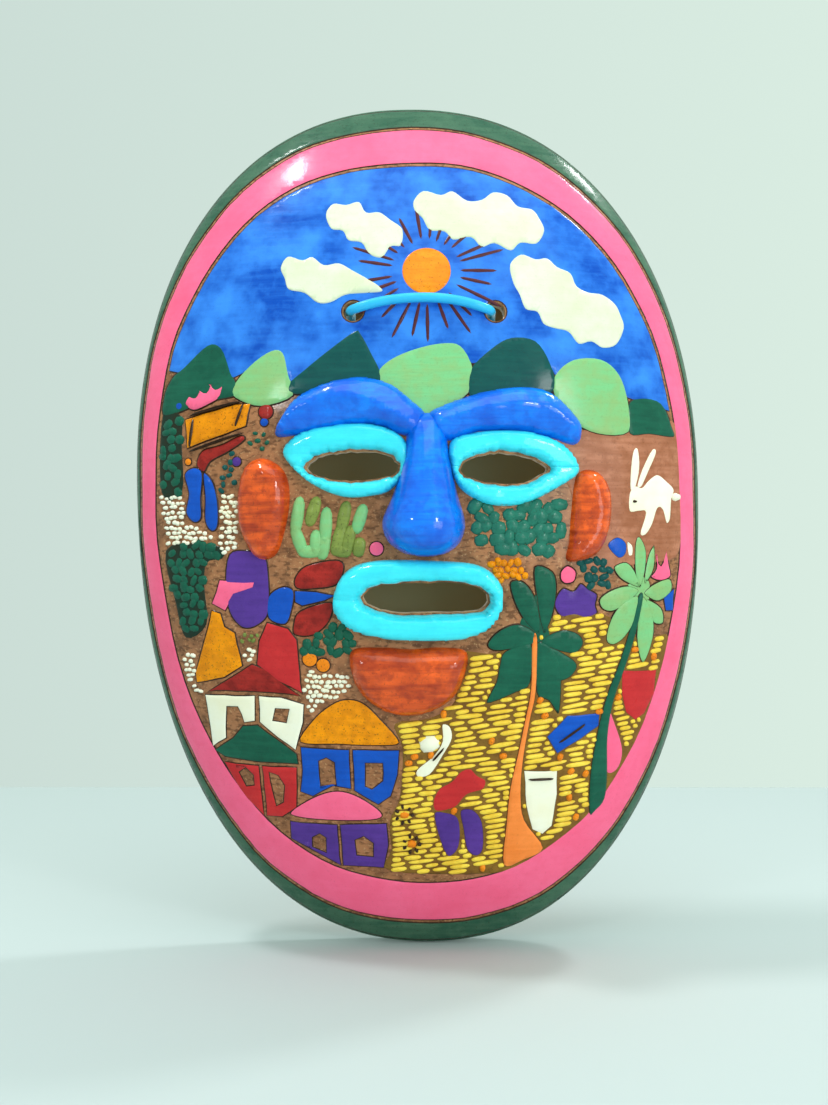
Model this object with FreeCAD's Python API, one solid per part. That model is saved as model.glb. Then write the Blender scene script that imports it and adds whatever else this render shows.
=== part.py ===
"""Oval wall mask of fired clay, with hand-modelled features luted on and a hanging cord.

Design axes (mm): X across the mask, +Z up, and the face looks towards -Y. The back edge
of the dish lies in the plane y = 0. Shapes are drawn about the middle of the oval, and
are moved at the end so that the origin is the nail that the raised cord hangs from.
"""

import FreeCAD, Part

import math
import os

# Clay dish
HALF_WIDTH = 100.0
RISE = 138.0  # from the widest line up to the top of the oval
DROP = 162.0  # from the widest line down to its bottom
WIDEST_Z = 12.0  # height of the widest line above the middle of the oval
FULLNESS = 2.22  # 2 would be a true ellipse
SKEW = 0.02  # the oval's foot stands this share to the right of its top
CROWN = 56.0  # depth of the dish at its middle
EDGE = 6.0  # height of the rim's outer wall
WALL = 7.0
FLANK_POWER = 0.5  # the flanks fall steeply
END_POWER = 0.85  # the brow and chin ends fall gently
LIP_SHARE = 0.985  # share of the oval where the dome meets the rim wall
LEVELS = (0.985, 0.955, 0.915, 0.865, 0.80, 0.72, 0.62, 0.50, 0.36, 0.20, 0.06)
ROUND_POINTS = 48
BACK_TUCK = 0.975  # the rim is rounded inwards to this share of the oval at the back
RIM_ROUND = 3.5  # height at which the rim's rounding ends
HOLLOW_EDGE = 4.0  # height of the inner skin at the rim
PAST = 120.0  # cutting shapes reach this far, past what they cut
OVERRUN = 5.0  # how far cutting shapes run out past the back plane
LEAST_CUT = 0.9  # a slot leaves less than this share of the ring of clay round it

# How far each luted piece stands off the dish
BROW_RELIEF = 6.5
LID_RELIEF = 3.2
LIP_RELIEF = 5.0
CHEEK_RELIEF = 5.5
CHIN_RELIEF = 6.5
ROOT = 4.0  # how far a piece is drawn into the dish before it is cut to seat on it
# Rings of a luted piece: (share of its outline, share of its relief)
SWELL = [(1.0, 0.0), (0.985, 0.40), (0.94, 0.70), (0.86, 0.88), (0.72, 0.97), (0.50, 1.0),
         (0.25, 1.0)]
TIP_SHARE = 0.04  # the swell is closed with a small level face

# Hanging cord and its two holes
CORD = 3.3
HOLE_RADIUS = 3.4
HOLE_Z = 72.0
HOLE_LEFT_X = -21.5
HOLE_RIGHT_X = 26.0
CORD_LEFT_X = -22.6
CORD_RIGHT_X = 24.6
AXIS_Y = -37.0  # the loop swings about this line, just behind the holes
AXIS_Z = 72.2
SWING_GAP = 2.2  # from that line to the top of each strand
MOUTH_BEND = 4.0  # the tight turn over the edge of a hole
KNOT_RADIUS = 4.3
KNOT_Z = 52.0
TAIL = 7.0
BEND_SHARE = 0.45  # the most of the shorter run that a bend with no radius of its own takes

# The nail in the wall, from the middle of the oval
NAIL_X = 1.0
NAIL_Z = 96.0

# Outlines of the slots and the luted pieces, (x, z) from the middle of the oval
LEFT_EYE_SLOT = [(-37, 20), (-32, 23.5), (-24, 24.8), (-12.5, 24.6), (-6.8, 21.3),
                 (-7.4, 17.8), (-13, 16), (-22, 15.5), (-32, 16.6)]
RIGHT_EYE_SLOT = [(14.3, 20), (19, 23.4), (27, 24.5), (35.5, 23.6), (43.5, 20.2),
                  (40.5, 17), (34, 14.5), (24, 14.6), (16, 17)]
MOUTH_SLOT = [(-18, -23), (-13, -19.2), (1, -18.4), (17, -18.9), (23.4, -23),
              (20.5, -27.3), (7.5, -28.4), (-9, -28), (-15.7, -26.2)]
LEFT_EYE = [(-44.5, 25), (-38.5, 31.5), (-25.5, 34), (-12.5, 33.5), (-4, 28.5),
            (-3, 20), (-8.5, 12.5), (-15.5, 10.3), (-24, 10), (-32.5, 13), (-39.5, 18)]
RIGHT_EYE = [(10.6, 27.8), (20.5, 31.5), (34, 32), (44.5, 29.5), (51, 25),
             (53.5, 18.5), (47, 13.5), (37, 8.5), (28.5, 7), (19.8, 8.8), (12.5, 15)]
LIPS = [(-28, -24), (-24, -15), (-14, -11), (7.3, -11), (20.4, -12.6), (27, -18),
        (28, -25.5), (24, -33), (14, -37), (-2.5, -37.5), (-19, -35), (-26.3, -30)]
LEFT_BROW = [(-47, 30.5), (-44.5, 37.5), (-39.5, 43.5), (-29.5, 48), (-18.5, 49.6),
             (-9.5, 47.5), (-2.5, 42.3), (2.6, 37), (1, 30), (-5.5, 30.5), (-13, 33.6),
             (-22, 34), (-31.5, 32.2), (-40, 30.5)]
RIGHT_BROW = [(3.6, 37), (8, 40), (14.5, 42.5), (23, 45), (35, 46.6), (43.5, 45),
              (50, 39.8), (54.5, 33.5), (52.5, 27.5), (43.5, 29.8), (34, 31.8),
              (20, 31.5), (11, 28.5), (5, 30)]
LEFT_CHEEK = [(-51.5, 23), (-44.5, 19), (-42.3, 10.5), (-44, -1), (-47.5, -9.5),
              (-54, -9.8), (-59, -1), (-60, 10.5), (-57.5, 20)]
RIGHT_CHEEK = [(53, 17.5), (59.5, 18.8), (64.3, 12.4), (64.3, 0.7), (59.8, -9),
               (50, -11.2), (50.5, -4), (51.2, 6)]
CHIN = [(-22, -41), (-12.3, -39.8), (-2.5, -40.4), (7.4, -39.8), (16.3, -41.4),
        (15.3, -50.5), (10.8, -58), (1, -62.7), (-9, -62.3), (-17.4, -57.3), (-21.6, -50)]
LEFT_EYE_SEAM = 20.0
RIGHT_EYE_SEAM = 20.0
LIP_SEAM = -23.5

TAIL_LEANS = [(-0.5, 0.3, -1.0), (-1.0, 0.4, 0.3)]
NOSE_ROOT = 3.0  # the nose's sections are centred this far inside the dish
ELLIPSE_POINTS = 24

# The nose from bridge to tip: (z, middle x, half width, stand-off)
NOSE = [(36.0, 3.0, 5.0, 6.0), (24.0, 3.0, 7.4, 9.0), (12.0, 2.6, 10.2, 12.5),
        (2.0, 2.0, 13.6, 16.0), (-5.0, 2.2, 11.0, 13.0), (-8.4, 2.6, 5.0, 7.0)]

# The cord's route: through the left hole, across the front and back through the right
FRONT_ROUTE = [(CORD_LEFT_X, AXIS_Y - 0.3, AXIS_Z), (CORD_LEFT_X, -50.4, AXIS_Z),
               (-8.0, -50.4, 76.0), (10.0, -50.4, 76.3), (CORD_RIGHT_X, -50.4, AXIS_Z),
               (CORD_RIGHT_X, AXIS_Y - 0.3, AXIS_Z)]
SHORT_STRAND = [(CORD_LEFT_X, AXIS_Y, AXIS_Z - SWING_GAP), (CORD_LEFT_X, AXIS_Y, KNOT_Z)]
LONG_STRAND = [(CORD_RIGHT_X, AXIS_Y, AXIS_Z - SWING_GAP), (25.0, AXIS_Y, 56.0),
               (20.0, AXIS_Y, 42.5), (8.0, AXIS_Y, 34.8), (-6.5, AXIS_Y, 34.2),
               (-17.0, AXIS_Y, 39.5), (-22.0, AXIS_Y, 50.0)]


def vector(point):
    return FreeCAD.Vector(*point)


def dome_height(share, power, edge, crown):
    """Height of a dome above the back plane, at a share of the way from middle to rim."""
    return edge + (crown - edge) * (1 - (LIP_SHARE * share) ** 2) ** power


def oval_ring(share, margin, height=None, edge=EDGE, crown=CROWN):
    """A closed curve round the oval, drawn in by margin, on the dome or at one height."""
    points = []
    for step in range(ROUND_POINTS):
        turn = 2 * math.pi * step / ROUND_POINTS
        across = abs(math.cos(turn)) ** (2 / FULLNESS) * math.copysign(1, math.cos(turn))
        along = abs(math.sin(turn)) ** (2 / FULLNESS) * math.copysign(1, math.sin(turn))
        reach = (RISE if along > 0 else DROP) - margin
        z = share * reach * along
        x = share * (HALF_WIDTH - margin) * across - SKEW * z
        power = FLANK_POWER * math.cos(turn) ** 2 + END_POWER * math.sin(turn) ** 2
        tall = dome_height(share, power, edge, crown) if height is None else height
        points.append(FreeCAD.Vector(x, -tall, z + WIDEST_Z))
    curve = Part.BSplineCurve()
    knots = [step / ROUND_POINTS for step in range(ROUND_POINTS + 1)]
    curve.interpolate(Points=points, PeriodicFlag=True, Parameters=knots)
    return Part.Wire([curve.toShape()])


def dome_block():
    """The dish filled in: everything between its outer skin and the back plane."""
    rings = [oval_ring(BACK_TUCK, 0, height=-RIM_ROUND / 3),
             oval_ring(1.0, 0, height=RIM_ROUND)]
    rings += [oval_ring(level, 0) for level in LEVELS[:-1]]
    rings.append(oval_ring(LEVELS[-1], 0, height=CROWN))
    behind = Part.makeBox(2 * PAST, PAST, 4 * PAST, FreeCAD.Vector(-PAST, 0, -2 * PAST))
    return Part.makeLoft(rings, True, False).cut(behind)


def hollow_block():
    """The room inside the dish, carried out past the back plane."""
    crown = CROWN - WALL
    rings = [oval_ring(1.0, WALL, height=-OVERRUN),
             oval_ring(1.0, WALL, height=HOLLOW_EDGE / 2)]
    rings += [oval_ring(level, WALL, edge=HOLLOW_EDGE, crown=crown) for level in LEVELS[:-1]]
    rings.append(oval_ring(LEVELS[-1], WALL, height=crown))
    return Part.makeLoft(rings, True, False)


def closed_curve(points, spacing):
    """A smooth closed wire through points, with its knots spaced as told."""
    curve = Part.BSplineCurve()
    curve.interpolate(Points=points, PeriodicFlag=True, Parameters=spacing)
    return Part.Wire([curve.toShape()])


def chord_spacing(outline):
    """Knot places from 0 to 1, spaced as the outline's points are."""
    places = [0.0]
    for i, (x, z) in enumerate(outline):
        next_x, next_z = outline[(i + 1) % len(outline)]
        places.append(places[-1] + math.hypot(next_x - x, next_z - z))
    return [place / places[-1] for place in places]


def prism(outline):
    """A closed smooth outline carried straight through the dish along Y."""
    points = [FreeCAD.Vector(x, -PAST, z) for x, z in outline]
    face = Part.Face(closed_curve(points, chord_spacing(outline)))
    return face.extrude(FreeCAD.Vector(0, PAST + OVERRUN, 0))


def slab(low_z, high_z):
    """A slab across the whole mask between two heights."""
    corner = FreeCAD.Vector(-PAST, -PAST, low_z)
    return Part.makeBox(2 * PAST, 2 * PAST, high_z - low_z, corner)


def swell_ring(outline, spacing, share, level=None, rise=0.0):
    """An outline shrunk about its middle to a share, at one level or a rise off the dish."""
    middle_x = sum(x for x, _ in outline) / len(outline)
    middle_z = sum(z for _, z in outline) / len(outline)
    points = []
    for x, z in outline:
        place_x = middle_x + share * (x - middle_x)
        place_z = middle_z + share * (z - middle_z)
        tall = dome_front(place_x, place_z) + rise if level is None else level
        points.append(FreeCAD.Vector(place_x, -tall, place_z))
    return closed_curve(points, spacing)


def luted(outline, relief, dish, slot=None):
    """A modelled piece of one outline that seats on the dish and swells off it."""
    middle_x = sum(x for x, _ in outline) / len(outline)
    middle_z = sum(z for _, z in outline) / len(outline)
    outline = outline[::-1]  # anticlockwise, so that the loft's faces point outwards
    spacing = chord_spacing(outline)
    root = min(dome_front(x, z) for x, z in outline) - ROOT
    top = dome_front(middle_x, middle_z) + relief
    rings = [swell_ring(outline, spacing, 1.0, root)]
    rings += [swell_ring(outline, spacing, share, rise=rise * relief) for share, rise in SWELL]
    rings.append(swell_ring(outline, spacing, TIP_SHARE, top))
    piece = Part.makeLoft(rings, True, False).cut(dish)
    if slot:
        whole = piece.Volume
        piece = piece.cut(prism(slot))
        if piece.Volume > LEAST_CUT * whole:
            raise RuntimeError("the slot did not cut the ring round it")
    return piece


def nose_piece(dish):
    """The nose: elliptical level sections from the bridge down to the rounded tip."""
    sections = []
    for z, x, half_width, stand_off in NOSE:
        centre = FreeCAD.Vector(x, NOSE_ROOT - dome_front(x, z), z)
        sections.append(level_ellipse(centre, half_width, stand_off + NOSE_ROOT))
    return Part.makeLoft(sections, True, False).cut(dish)


def level_ellipse(centre, half_width, half_depth):
    """A level ellipse with its axes along X and Y, starting at its foremost point."""
    points = []
    for step in range(ELLIPSE_POINTS):
        turn = 2 * math.pi * step / ELLIPSE_POINTS
        points.append(centre + FreeCAD.Vector(half_width * math.sin(turn),
                                              -half_depth * math.cos(turn), 0))
    curve = Part.BSplineCurve()
    knots = [step / ELLIPSE_POINTS for step in range(ELLIPSE_POINTS + 1)]
    curve.interpolate(Points=points, PeriodicFlag=True, Parameters=knots)
    return Part.Wire([curve.toShape()])


def dome_front(x, z):
    """Height of the dish's outer skin above the back plane at one place."""
    along = z - WIDEST_Z
    across = (abs(x + SKEW * along) / HALF_WIDTH) ** FULLNESS
    up = (abs(along) / (RISE if along > 0 else DROP)) ** FULLNESS
    share = (across + up) ** (1 / FULLNESS)
    power = (FLANK_POWER * across + END_POWER * up) / max(across + up, 1e-9)
    return dome_height(share, power, EDGE, CROWN)


def eye_ring(outline, slot, seam, dish, neighbours):
    """The upper and the lower lid round one eye slot, parted at the seam's height."""
    ring = luted(outline, LID_RELIEF, dish, slot)
    for neighbour in neighbours:
        ring = ring.cut(neighbour)
    return ring.common(slab(seam, PAST)), ring.common(slab(-PAST, seam))


def tube(route, bends, name):
    """A round cord along straight runs joined by tangent arcs, one radius per corner."""
    points = [vector(point) for point in route]
    edges = []
    start = points[0]
    for i in range(1, len(points) - 1):
        before = points[i] - points[i - 1]
        after = points[i + 1] - points[i]
        half_turn = before.getAngle(after) / 2
        widest = BEND_SHARE * min(before.Length, after.Length) / math.tan(half_turn)
        radius = bends.get(i, widest)
        turn = math.degrees(2 * half_turn)
        print(f"{name} corner {i}: turn {turn:.0f} deg, radius {radius:.1f} mm")
        back = radius * math.tan(half_turn)
        before.normalize()
        after.normalize()
        into = points[i] - before * back
        out = points[i] + after * back
        inward = after - before
        inward.normalize()
        middle = points[i] + inward * (radius / math.cos(half_turn) - radius)
        edges.append(Part.LineSegment(start, into).toShape())
        edges.append(Part.Arc(into, middle, out).toShape())
        start = out
    edges.append(Part.LineSegment(start, points[-1]).toShape())
    path = Part.Wire(edges)
    section = Part.Circle(points[0], points[1] - points[0], CORD / 2).toShape()
    solid = path.makePipeShell([Part.Wire([section])], True, False)
    share = solid.Volume / (math.pi * CORD ** 2 / 4 * path.Length)
    print(f"{name}: {path.Length:.1f} mm long, volume {share:.4f} of section times length")
    return solid


def knot_piece():
    """The knot that joins the cord's two ends, with a short tail from each end."""
    middle = FreeCAD.Vector(CORD_LEFT_X, AXIS_Y, KNOT_Z)
    knot = Part.makeSphere(KNOT_RADIUS, middle)
    for lean in TAIL_LEANS:
        knot = knot.fuse(Part.makeCylinder(CORD / 2, KNOT_RADIUS + TAIL, middle, vector(lean)))
    return knot


def build():
    """Every piece of the mask in design axes, by node name."""
    dish = dome_block()
    shell = dish.cut(hollow_block())
    for slot in (LEFT_EYE_SLOT, RIGHT_EYE_SLOT, MOUTH_SLOT):
        shell = shell.cut(prism(slot))
    for x in (HOLE_LEFT_X, HOLE_RIGHT_X):
        front = FreeCAD.Vector(x, -PAST, HOLE_Z)
        hole = Part.makeCylinder(HOLE_RADIUS, PAST + OVERRUN, front, FreeCAD.Vector(0, 1, 0))
        shell = shell.cut(hole)

    nose = nose_piece(dish)
    left_brow = luted(LEFT_BROW, BROW_RELIEF, dish).cut(nose)
    right_brow = luted(RIGHT_BROW, BROW_RELIEF, dish).cut(nose)
    left_lids = eye_ring(LEFT_EYE, LEFT_EYE_SLOT, LEFT_EYE_SEAM, dish, (left_brow, nose))
    right_lids = eye_ring(RIGHT_EYE, RIGHT_EYE_SLOT, RIGHT_EYE_SEAM, dish, (right_brow, nose))
    lips = luted(LIPS, LIP_RELIEF, dish, MOUTH_SLOT)
    right_cheek = luted(RIGHT_CHEEK, CHEEK_RELIEF, dish)
    for lid in right_lids:
        right_cheek = right_cheek.cut(lid)

    knot = knot_piece()
    return {
        "clay_shell": shell,
        "left_brow": left_brow,
        "right_brow": right_brow,
        "nose": nose,
        "left_upper_eyelid": left_lids[0],
        "left_lower_eyelid": left_lids[1],
        "right_upper_eyelid": right_lids[0],
        "right_lower_eyelid": right_lids[1],
        "left_cheek": luted(LEFT_CHEEK, CHEEK_RELIEF, dish),
        "right_cheek": right_cheek,
        "upper_lip": lips.common(slab(LIP_SEAM, PAST)),
        "lower_lip": lips.common(slab(-PAST, LIP_SEAM)),
        "chin": luted(CHIN, CHIN_RELIEF, dish),
        "cord_front_run": tube(FRONT_ROUTE, {1: MOUTH_BEND, 4: MOUTH_BEND}, "front run"),
        "cord_short_strand": tube(SHORT_STRAND, {}, "short strand").cut(knot),
        "cord_long_strand": tube(LONG_STRAND, {}, "long strand").cut(knot),
        "cord_knot": knot,
    }


def main():
    """Write one STEP file per node, moved so that the origin is the nail."""
    os.makedirs("parts", exist_ok=True)
    for node, shape in build().items():
        placed = shape.translated(FreeCAD.Vector(-NAIL_X, 0, -NAIL_Z))
        placed.exportStep(f"parts/{node}.step")
        print(f"{node}: {len(placed.Solids)} solid, {placed.Volume / 1000:.2f} cm3")


if __name__ == "__main__":
    main()
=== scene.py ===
"""A painted clay wall mask: a deep oval dish with modelled features, a painted village and a cord.

Shapes are drawn in millimetres from the middle of the oval, with x across and z up. The dish carries
them to the model's frame, in metres, where the origin is the nail that the cord's loop goes over.
"""

import logging
import math
import random
from collections.abc import Callable, Iterable, Sequence
from dataclasses import dataclass, field
from enum import Enum

import bmesh
import bpy
from mathutils import Matrix, Vector, noise


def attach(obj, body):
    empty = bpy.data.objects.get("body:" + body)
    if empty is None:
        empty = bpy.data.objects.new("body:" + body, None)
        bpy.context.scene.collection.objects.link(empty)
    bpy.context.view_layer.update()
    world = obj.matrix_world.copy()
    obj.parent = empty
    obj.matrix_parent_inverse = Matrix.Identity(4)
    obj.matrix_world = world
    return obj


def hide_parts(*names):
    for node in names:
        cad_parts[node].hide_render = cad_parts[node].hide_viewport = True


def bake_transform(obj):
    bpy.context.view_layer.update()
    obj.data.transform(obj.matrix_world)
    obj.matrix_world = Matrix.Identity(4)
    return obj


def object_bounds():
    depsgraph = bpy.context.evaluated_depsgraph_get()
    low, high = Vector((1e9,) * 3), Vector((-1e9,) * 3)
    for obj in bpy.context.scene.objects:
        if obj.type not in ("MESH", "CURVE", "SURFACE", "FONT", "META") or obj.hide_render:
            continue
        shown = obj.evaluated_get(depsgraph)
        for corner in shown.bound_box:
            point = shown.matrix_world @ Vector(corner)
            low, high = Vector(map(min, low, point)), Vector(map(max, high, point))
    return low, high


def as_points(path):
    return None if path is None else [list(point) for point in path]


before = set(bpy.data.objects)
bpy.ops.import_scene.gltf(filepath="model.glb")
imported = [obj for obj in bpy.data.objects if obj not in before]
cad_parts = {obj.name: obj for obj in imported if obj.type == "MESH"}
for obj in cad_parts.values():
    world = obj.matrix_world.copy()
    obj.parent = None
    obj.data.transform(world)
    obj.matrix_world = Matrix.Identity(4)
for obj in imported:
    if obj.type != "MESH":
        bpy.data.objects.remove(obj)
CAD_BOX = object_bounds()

Point = tuple[float, float]
Loop = list[Point]
Socket = bpy.types.NodeSocket

log = logging.getLogger("clay_mask")
MM = 0.001
NAIL_X = 1.0  # the nail's place, from the middle of the oval
NAIL_Z = 96.0


class Corners(Enum):
    """How an outline turns at its points."""

    ROUND = "round"
    CRISP = "crisp"


class Lid(Enum):
    """Which half of a ring of clay a lid or lip is."""

    UPPER = 1.0
    LOWER = -1.0


# ---- finishes


def tone(code: str) -> tuple[float, float, float, float]:
    """Turns a paint-card colour into the shader's linear one.

    Args:
        code: six hexadecimal digits.

    Returns:
        Red, green, blue and alpha.
    """
    parts = [int(code[i:i + 2], 16) / 255 for i in (0, 2, 4)]
    linear = [c / 12.92 if c <= 0.04045 else ((c + 0.055) / 1.055) ** 2.4 for c in parts]
    return (*linear, 1.0)


class Wiring:
    """Adds nodes to a tree and links them, so that a finish reads as a list of steps."""

    def __init__(self, tree: bpy.types.NodeTree) -> None:
        """Takes the tree to work in."""
        self.tree = tree

    def node(self, kind: str, **settings: object) -> bpy.types.Node:
        """Adds one node.

        Args:
            kind: the node's type name without its ShaderNode prefix.
            **settings: the node's own properties.

        Returns:
            The new node.
        """
        made = self.tree.nodes.new(kind if kind.startswith("Node") else "ShaderNode" + kind)
        for key, value in settings.items():
            setattr(made, key, value)
        return made

    def link(self, source: Socket, target: Socket) -> None:
        """Joins two sockets."""
        self.tree.links.new(source, target)

    def noise(self, place: Socket, scale: float, detail: float = 3.0) -> Socket:
        """Adds a noise and gives its value.

        Args:
            place: the coordinates it reads.
            scale: waves per metre.
            detail: octaves.

        Returns:
            The noise's Fac socket.
        """
        made = self.node("TexNoise")
        made.inputs["Scale"].default_value = scale
        made.inputs["Detail"].default_value = detail
        self.link(place, made.inputs["Vector"])
        return made.outputs["Fac"]

    def stretch(self, place: Socket, scale: Sequence[float]) -> Socket:
        """Stretches coordinates along the axes.

        Args:
            place: the coordinates.
            scale: the stretch along x, y and z.

        Returns:
            The stretched coordinates.
        """
        made = self.node("Mapping")
        made.inputs["Scale"].default_value = scale
        self.link(place, made.inputs["Vector"])
        return made.outputs["Vector"]

    def span(self, value: Socket, low: float, high: float,
             to_low: float = 0.0, to_high: float = 1.0) -> Socket:
        """Maps a value from one clamped range to another.

        Args:
            value: the socket to map.
            low: value that gives to_low.
            high: value that gives to_high.
            to_low: low end of the result.
            to_high: high end of the result.

        Returns:
            The mapped value.
        """
        made = self.node("MapRange")
        limits = {"From Min": low, "From Max": high, "To Min": to_low, "To Max": to_high}
        for key, number in limits.items():
            made.inputs[key].default_value = number
        self.link(value, made.inputs["Value"])
        return made.outputs["Result"]

    def times(self, first: Socket, second: Socket | float) -> Socket:
        """Multiplies a value by another.

        Args:
            first: the value.
            second: a socket or a number.

        Returns:
            The product.
        """
        made = self.node("Math", operation="MULTIPLY")
        self.link(first, made.inputs[0])
        if isinstance(second, float):
            made.inputs[1].default_value = second
        else:
            self.link(second, made.inputs[1])
        return made.outputs[0]

    def mix(self, share: Socket, first: Socket | Sequence[float], second: Socket | Sequence[float]) -> Socket:
        """Mixes two colours.

        Args:
            share: how much of the second.
            first: a colour or a socket.
            second: a colour or a socket.

        Returns:
            The mixed colour.
        """
        made = self.node("Mix", data_type="RGBA")
        self.link(share, made.inputs[0])
        for socket, colour in ((made.inputs[6], first), (made.inputs[7], second)):
            if isinstance(colour, Socket):
                self.link(colour, socket)
            else:
                socket.default_value = colour
        return made.outputs[2]


GRIT_BROWN = "2A1C14"


def new_group(name: str, colours: Sequence[str], values: Sequence[str]) -> bpy.types.NodeTree:
    """Starts a shared effect, with a place, colours and values in and a finish out.

    Args:
        name: the group's name.
        colours: its colour inputs.
        values: its number inputs.

    Returns:
        The empty group.
    """
    tree = bpy.data.node_groups.new(name, "ShaderNodeTree")
    tree.interface.new_socket("Place", in_out="INPUT", socket_type="NodeSocketVector")
    for colour in colours:
        tree.interface.new_socket(colour, in_out="INPUT", socket_type="NodeSocketColor")
    for value in values:
        tree.interface.new_socket(value, in_out="INPUT", socket_type="NodeSocketFloat")
    tree.interface.new_socket("Colour", in_out="OUTPUT", socket_type="NodeSocketColor")
    for value in ("Roughness", "Height"):
        tree.interface.new_socket(value, in_out="OUTPUT", socket_type="NodeSocketFloat")
    return tree


def brushed_group() -> bpy.types.NodeTree:
    """Makes the brush marks that every paint shares.

    Returns:
        The group: broad thin places, fine streaks, mottling and dark grit.
    """
    tree = new_group("brush_marks", ("Full", "Thin"), ("Streak", "Cloud", "Grit", "Mottle"))
    wiring = Wiring(tree)
    given = wiring.node("NodeGroupInput").outputs
    result = wiring.node("NodeGroupOutput").inputs
    place = given["Place"]
    cloud = wiring.span(wiring.noise(place, 70.0, 4.0), 0.38, 0.68)
    brushed = wiring.stretch(place, (60.0, 60.0, 620.0))
    streak = wiring.span(wiring.noise(brushed, 1.0, 4.0), 0.42, 0.66)
    grit = wiring.span(wiring.noise(place, 1500.0, 2.0), 0.60, 0.70)
    mottle = wiring.span(wiring.noise(place, 300.0, 5.0), 0.46, 0.62)
    blended = wiring.mix(wiring.times(cloud, given["Cloud"]), given["Full"], given["Thin"])
    blended = wiring.mix(wiring.times(streak, given["Streak"]), blended, given["Thin"])
    blended = wiring.mix(wiring.times(mottle, given["Mottle"]), blended, given["Thin"])
    blended = wiring.mix(wiring.times(grit, given["Grit"]), blended, tone(GRIT_BROWN))
    wiring.link(blended, result["Colour"])
    wiring.link(wiring.span(cloud, 0.0, 1.0, 0.22, 0.42), result["Roughness"])
    height = wiring.node("Math", operation="ADD")
    wiring.link(wiring.times(streak, given["Streak"]), height.inputs[0])
    wiring.link(wiring.times(wiring.noise(place, 900.0, 3.0), given["Grit"]), height.inputs[1])
    wiring.link(height.outputs[0], result["Height"])
    return tree


def clay_group() -> bpy.types.NodeTree:
    """Makes the grain of fired clay.

    Returns:
        The group: a burnished ground with burnt places, dark scratches and pale flecks.
    """
    tree = new_group("clay_grain", ("Ground", "Burnt", "Fleck"), ("Depth",))
    wiring = Wiring(tree)
    given = wiring.node("NodeGroupInput").outputs
    result = wiring.node("NodeGroupOutput").inputs
    place = given["Place"]
    burnt = wiring.span(wiring.noise(place, 160.0, 5.0), 0.44, 0.62)
    scraped = wiring.stretch(place, (420.0, 420.0, 900.0))
    scratch = wiring.span(wiring.noise(scraped, 1.0, 3.0), 0.50, 0.64)
    fleck = wiring.span(wiring.noise(place, 1100.0, 2.0), 0.60, 0.68)
    blended = wiring.mix(wiring.times(burnt, 0.55), given["Ground"], given["Burnt"])
    blended = wiring.mix(wiring.times(scratch, given["Depth"]), blended, given["Burnt"])
    blended = wiring.mix(wiring.times(fleck, 0.5), blended, given["Fleck"])
    wiring.link(blended, result["Colour"])
    wiring.link(wiring.span(scratch, 0.0, 1.0, 0.34, 0.62), result["Roughness"])
    wiring.link(wiring.times(wiring.span(scratch, 0.0, 1.0, 1.0, 0.0), given["Depth"]), result["Height"])
    return tree


@dataclass(frozen=True)
class Finish:
    """What every finish has: a name and the varnish over it."""

    name: str
    coat: float = 0.16
    coat_roughness: float = 0.12
    sheen: float = 0.06  # the paint's own reflection, under the varnish
    relief: float = 0.12  # depth of the finish's own unevenness, in mm

    def dress(self, group: bpy.types.NodeTree, inputs: dict[str, object]) -> bpy.types.Material:
        """Makes the material around a shared effect.

        Args:
            group: the effect's node group.
            inputs: the values that this finish gives it.

        Returns:
            The material.
        """
        title = self.name + "_finish"
        material = bpy.data.materials.get(title)
        if material:
            return material
        material = bpy.data.materials.new(title)
        material.use_nodes = True
        wiring = Wiring(material.node_tree)
        shader = material.node_tree.nodes["Principled BSDF"]
        effect = wiring.node("Group", node_tree=group)
        wiring.link(wiring.node("TexCoord").outputs["Object"], effect.inputs["Place"])
        for key, value in inputs.items():
            effect.inputs[key].default_value = value
        bump = wiring.node("Bump")
        bump.inputs["Distance"].default_value = self.relief * MM
        bump.inputs["Strength"].default_value = 1.0
        wiring.link(effect.outputs["Height"], bump.inputs["Height"])
        wiring.link(effect.outputs["Colour"], shader.inputs["Base Color"])
        wiring.link(effect.outputs["Roughness"], shader.inputs["Roughness"])
        wiring.link(bump.outputs["Normal"], shader.inputs["Normal"])
        shader.inputs["Specular IOR Level"].default_value = self.sheen
        shader.inputs["Coat Weight"].default_value = self.coat
        shader.inputs["Coat Roughness"].default_value = self.coat_roughness
        return material


@dataclass(frozen=True)
class Paint(Finish):
    """A varnished paint, full in some places and thin in others."""

    full: str = "FFFFFF"
    thin: str = "DDDDDD"
    streak: float = 0.35
    cloud: float = 0.45
    grit: float = 0.25
    mottle: float = 0.2

    def material(self) -> bpy.types.Material:
        """Makes the paint's material.

        Returns:
            The material.
        """
        return self.dress(shared_group("brush_marks", brushed_group), {
            "Full": tone(self.full), "Thin": tone(self.thin),
            "Streak": self.streak, "Cloud": self.cloud, "Grit": self.grit, "Mottle": self.mottle})


@dataclass(frozen=True)
class Clay(Finish):
    """Fired clay, burnished or left as it came from the kiln."""

    ground: str = "A8744C"
    burnt: str = "5C3A24"
    fleck: str = "C9A06E"
    depth: float = 0.6

    def material(self) -> bpy.types.Material:
        """Makes the clay's material.

        Returns:
            The material.
        """
        return self.dress(shared_group("clay_grain", clay_group), {
            "Ground": tone(self.ground), "Burnt": tone(self.burnt),
            "Fleck": tone(self.fleck), "Depth": self.depth})


def shared_group(name: str, make: Callable[[], bpy.types.NodeTree]) -> bpy.types.NodeTree:
    """Gives a shared effect, making it the first time.

    Args:
        name: the group's name.
        make: the function that builds it.

    Returns:
        The node group.
    """
    return bpy.data.node_groups.get(name) or make()


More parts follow.
